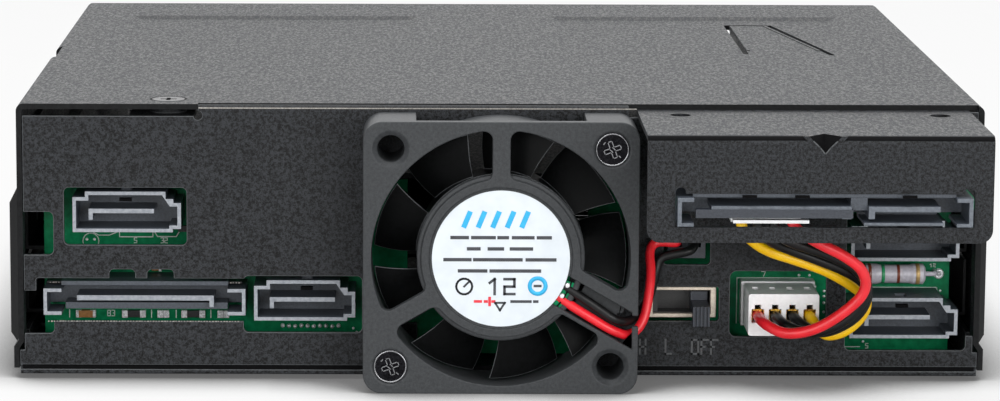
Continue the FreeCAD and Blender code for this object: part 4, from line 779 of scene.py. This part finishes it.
# %% Painted highlight rings, painted shade round the hub, and hub solder
HOLE = 16.0
screw_places = [(side * HOLE, -9.9, HUB_Z + side * HOLE) for side in (1, -1)]
turned("screw_rim_highlights", "fan_screws", painted_highlight_nickel, screw_places,
       [(2.20, -0.02), (2.36, -0.04), (2.42, 0.06), (2.20, 0.06)], steps=48)
RECESS = ((0.3, 1.25), (-0.3, 1.25), (-0.3, 0.3), (-1.25, 0.3), (-1.25, -0.3), (-0.3, -0.3), (-0.3, -1.25),
          (0.3, -1.25), (0.3, -0.3), (1.25, -0.3), (1.25, 0.3), (0.3, 0.3), (0.3, 1.25))
TURN = 0.35  # how far each recess happens to be turned, in radians
outline = [(x * math.cos(TURN) - z * math.sin(TURN), x * math.sin(TURN) + z * math.cos(TURN))
           for x, z in RECESS]
glints = [(0.0, 0.35, 0.35, 0.0), (-0.35, 0.0, 0.0, -0.35), (0.9, -0.9, 1.15, -1.1), (-1.3, 0.8, -1.1, 1.05)]
recess_glint_runs = [(x0 + a, z0 + b, x0 + c, z0 + d)
        for x0, _, z0 in screw_places for a, b, c, d in path(*outline) + glints]
printed("screw_recess_glints", "fan_screws", painted_highlight_nickel, recess_glint_runs, 0.13, -9.9)
turned("hub_rim", "fan_frame", fan_pbt, [(0.0, 0.0, HUB_Z)],
       [(11.3, -9.45), (12.0, -9.45), (12.2, -9.25), (12.2, -8.7), (11.3, -8.7)], steps=96)
# Painted shade: a thin dark ring for the groove round the hub.
turned("hub_groove_shade", "fan_frame", painted_shade_coat, [(0.0, 0.0, HUB_Z)],
       [(10.75, -9.52), (10.95, -9.52), (10.95, -9.3), (10.75, -9.3)], steps=96)
arc("fan_board", "fan_frame", solder_mask, (10.15, 11.4), (-44, -19), (-9.35, -9.0))
turned("hub_solder", "fan_frame", bright_solder, [(8.9, -9.35, 13.75), (9.7, -9.35, 15.3)],
       dome(0.42, 0.30), steps=12)
print("rims:", len(screw_places))

# %% [markdown]
# Above each tray's catch two clear light pipes bring the drive's power and activity lamps to the front.

# %% Light pipes
FRONT_FACE = 129.6
PIPES_X = (3.6, 6.8)
PIPE_WIDE, PIPE_TALL = 1.6, 1.2
LOWER_FOOT, UPPER_FOOT = 11.55, 25.2
for tray in range(1, 5):
    side = -1 if tray < 3 else 1
    foot = LOWER_FOOT if tray % 2 else UPPER_FOOT
    pipes = [(*sorted((side * x, side * (x + PIPE_WIDE))), FRONT_FACE - 0.4, FRONT_FACE + 0.04,
              foot, foot + PIPE_TALL) for x in PIPES_X]
    blocks(f"tray_{tray}_light_pipes", f"tray_{tray}_front", light_pipe, pipes)
print("light pipes:", 4 * len(PIPES_X))

# %% [markdown]
# On top, the clinched standoffs leave a ring round each hole of the bracket, and a dark ring paints the shade
# on the wall of the dimple that each cover screw sits in.

# %% Rings on top
turned("clinch_rings", "clinch_standoffs", black_oxide, [(26.1, -4.3, 39.6), (63.9, -4.3, 39.6)],
       [(2.75, -0.1), (2.75, 0.02), (2.95, 0.02), (2.95, -0.1)], steps=6, axis="z")
turned("screw_seat_shade", "top_cover", painted_shade_coat, [(-48.9, 5.4, 40.4)],
       [(2.5, -0.1), (2.5, 0.01), (2.75, 0.01), (2.75, -0.1)], steps=40, axis="z")
print("rings on top: 3")

# %% [markdown]
# ## Floor and light
#
# The cage stands on a white floor in a bright studio. The floor and the room are white to the lens and in
# reflections, while the light that falls on the cage comes from large soft lamps. Close to the cage the
# floor's white is darkened by a painted contact shadow, worked out from how much the cage hides within a
# short distance; a fifth of what the lens sees is real light, with the real shadow.

# %% Floor and room
floor_material, tree, bsdf = finish_of("paper_sweep", roughness=0.9)
bsdf.inputs["Base Color"].default_value = colour("#c8c8c8")
CONTACT_MM = 15.0  # how far from the cage its contact shadow reaches
LIT_SHARE = 0.2    # how much of the floor's look is real light, the rest being plain white
FLOOR_Z = cad_box[0][2]  # the fan hangs a little below the base, so the cage rests on it
rays = add(tree, "ShaderNodeLightPath")
# Painted contact shadow: occlusion within CONTACT_MM dims the floor's emitted white.
near = add(tree, "ShaderNodeAmbientOcclusion", {"Distance": CONTACT_MM * MM}, samples=16)
reach = add(tree, "ShaderNodeMapRange", {"Value": near.outputs["AO"], "From Min": 0.50, "From Max": 0.93,
                                         "To Min": 0.14, "To Max": 1.0})
white = add(tree, "ShaderNodeEmission", {"Color": (1.0, 1.0, 1.0, 1.0), "Strength": reach.outputs["Result"]})
lit = add(tree, "ShaderNodeMixShader", {"Fac": LIT_SHARE})
shown = add(tree, "ShaderNodeMixShader", {"Fac": rays.outputs["Is Camera Ray"]})
tree.links.new(white.outputs[0], lit.inputs[1])
tree.links.new(bsdf.outputs[0], lit.inputs[2])
tree.links.new(bsdf.outputs[0], shown.inputs[1])
tree.links.new(lit.outputs[0], shown.inputs[2])
tree.links.new(shown.outputs[0], tree.nodes["Material Output"].inputs["Surface"])
HALF_FLOOR = 6.0  # in metres
floor_mesh = bpy.data.meshes.new("floor")
corners = [(x * HALF_FLOOR, y * HALF_FLOOR, FLOOR_Z) for x, y in ((-1, -1), (1, -1), (1, 1), (-1, 1))]
floor_mesh.from_pydata(corners, [], [(0, 1, 2, 3)])
floor_mesh.materials.append(floor_material)
floor = bpy.data.objects.new("floor", floor_mesh)
bpy.context.scene.collection.objects.link(floor)

room = bpy.data.worlds.new("room")
bpy.context.scene.world = room
room.use_nodes = True
tree = room.node_tree
rays = add(tree, "ShaderNodeLightPath")
seen = add(tree, "ShaderNodeMath", {0: rays.outputs["Is Camera Ray"], 1: rays.outputs["Is Glossy Ray"]},
           operation="MAXIMUM")
seen = add(tree, "ShaderNodeMath", {0: seen.outputs[0], 1: rays.outputs["Is Transmission Ray"]},
           operation="MAXIMUM")
level = add(tree, "ShaderNodeMapRange", {"Value": seen.outputs[0], "To Min": 0.35, "To Max": 1.0})
background = tree.nodes["Background"]
background.inputs["Color"].default_value = (1.0, 1.0, 1.0, 1.0)
tree.links.new(level.outputs["Result"], background.inputs["Strength"])
print("floor and room ready")

# %% Lamps


def soft_lamp(name, at_mm, towards_mm, size_mm, watts):
    """A rectangular lamp that faces a point."""
    data = bpy.data.lights.new(name, "AREA")
    data.shape = "RECTANGLE"
    data.size, data.size_y = size_mm[0] * MM, size_mm[1] * MM
    data.energy = watts
    lamp = bpy.data.objects.new(name, data)
    bpy.context.scene.collection.objects.link(lamp)
    lamp.location = Vector(at_mm) * MM
    lamp.rotation_mode = "QUATERNION"
    lamp.rotation_quaternion = (Vector(at_mm) - Vector(towards_mm)).to_track_quat("Z", "Y")


soft_lamp("overhead", (0, -120, 700), (0, -20, 20), (900, 700), 7.5)
soft_lamp("far_side", (0, 760, 420), (0, 0, 30), (1000, 420), 1.6)
soft_lamp("rear_left", (-320, -820, 190), (0, -60, 20), (500, 300), 2.2)
soft_lamp("rear_right", (400, -760, 170), (0, -60, 20), (450, 300), 2.8)
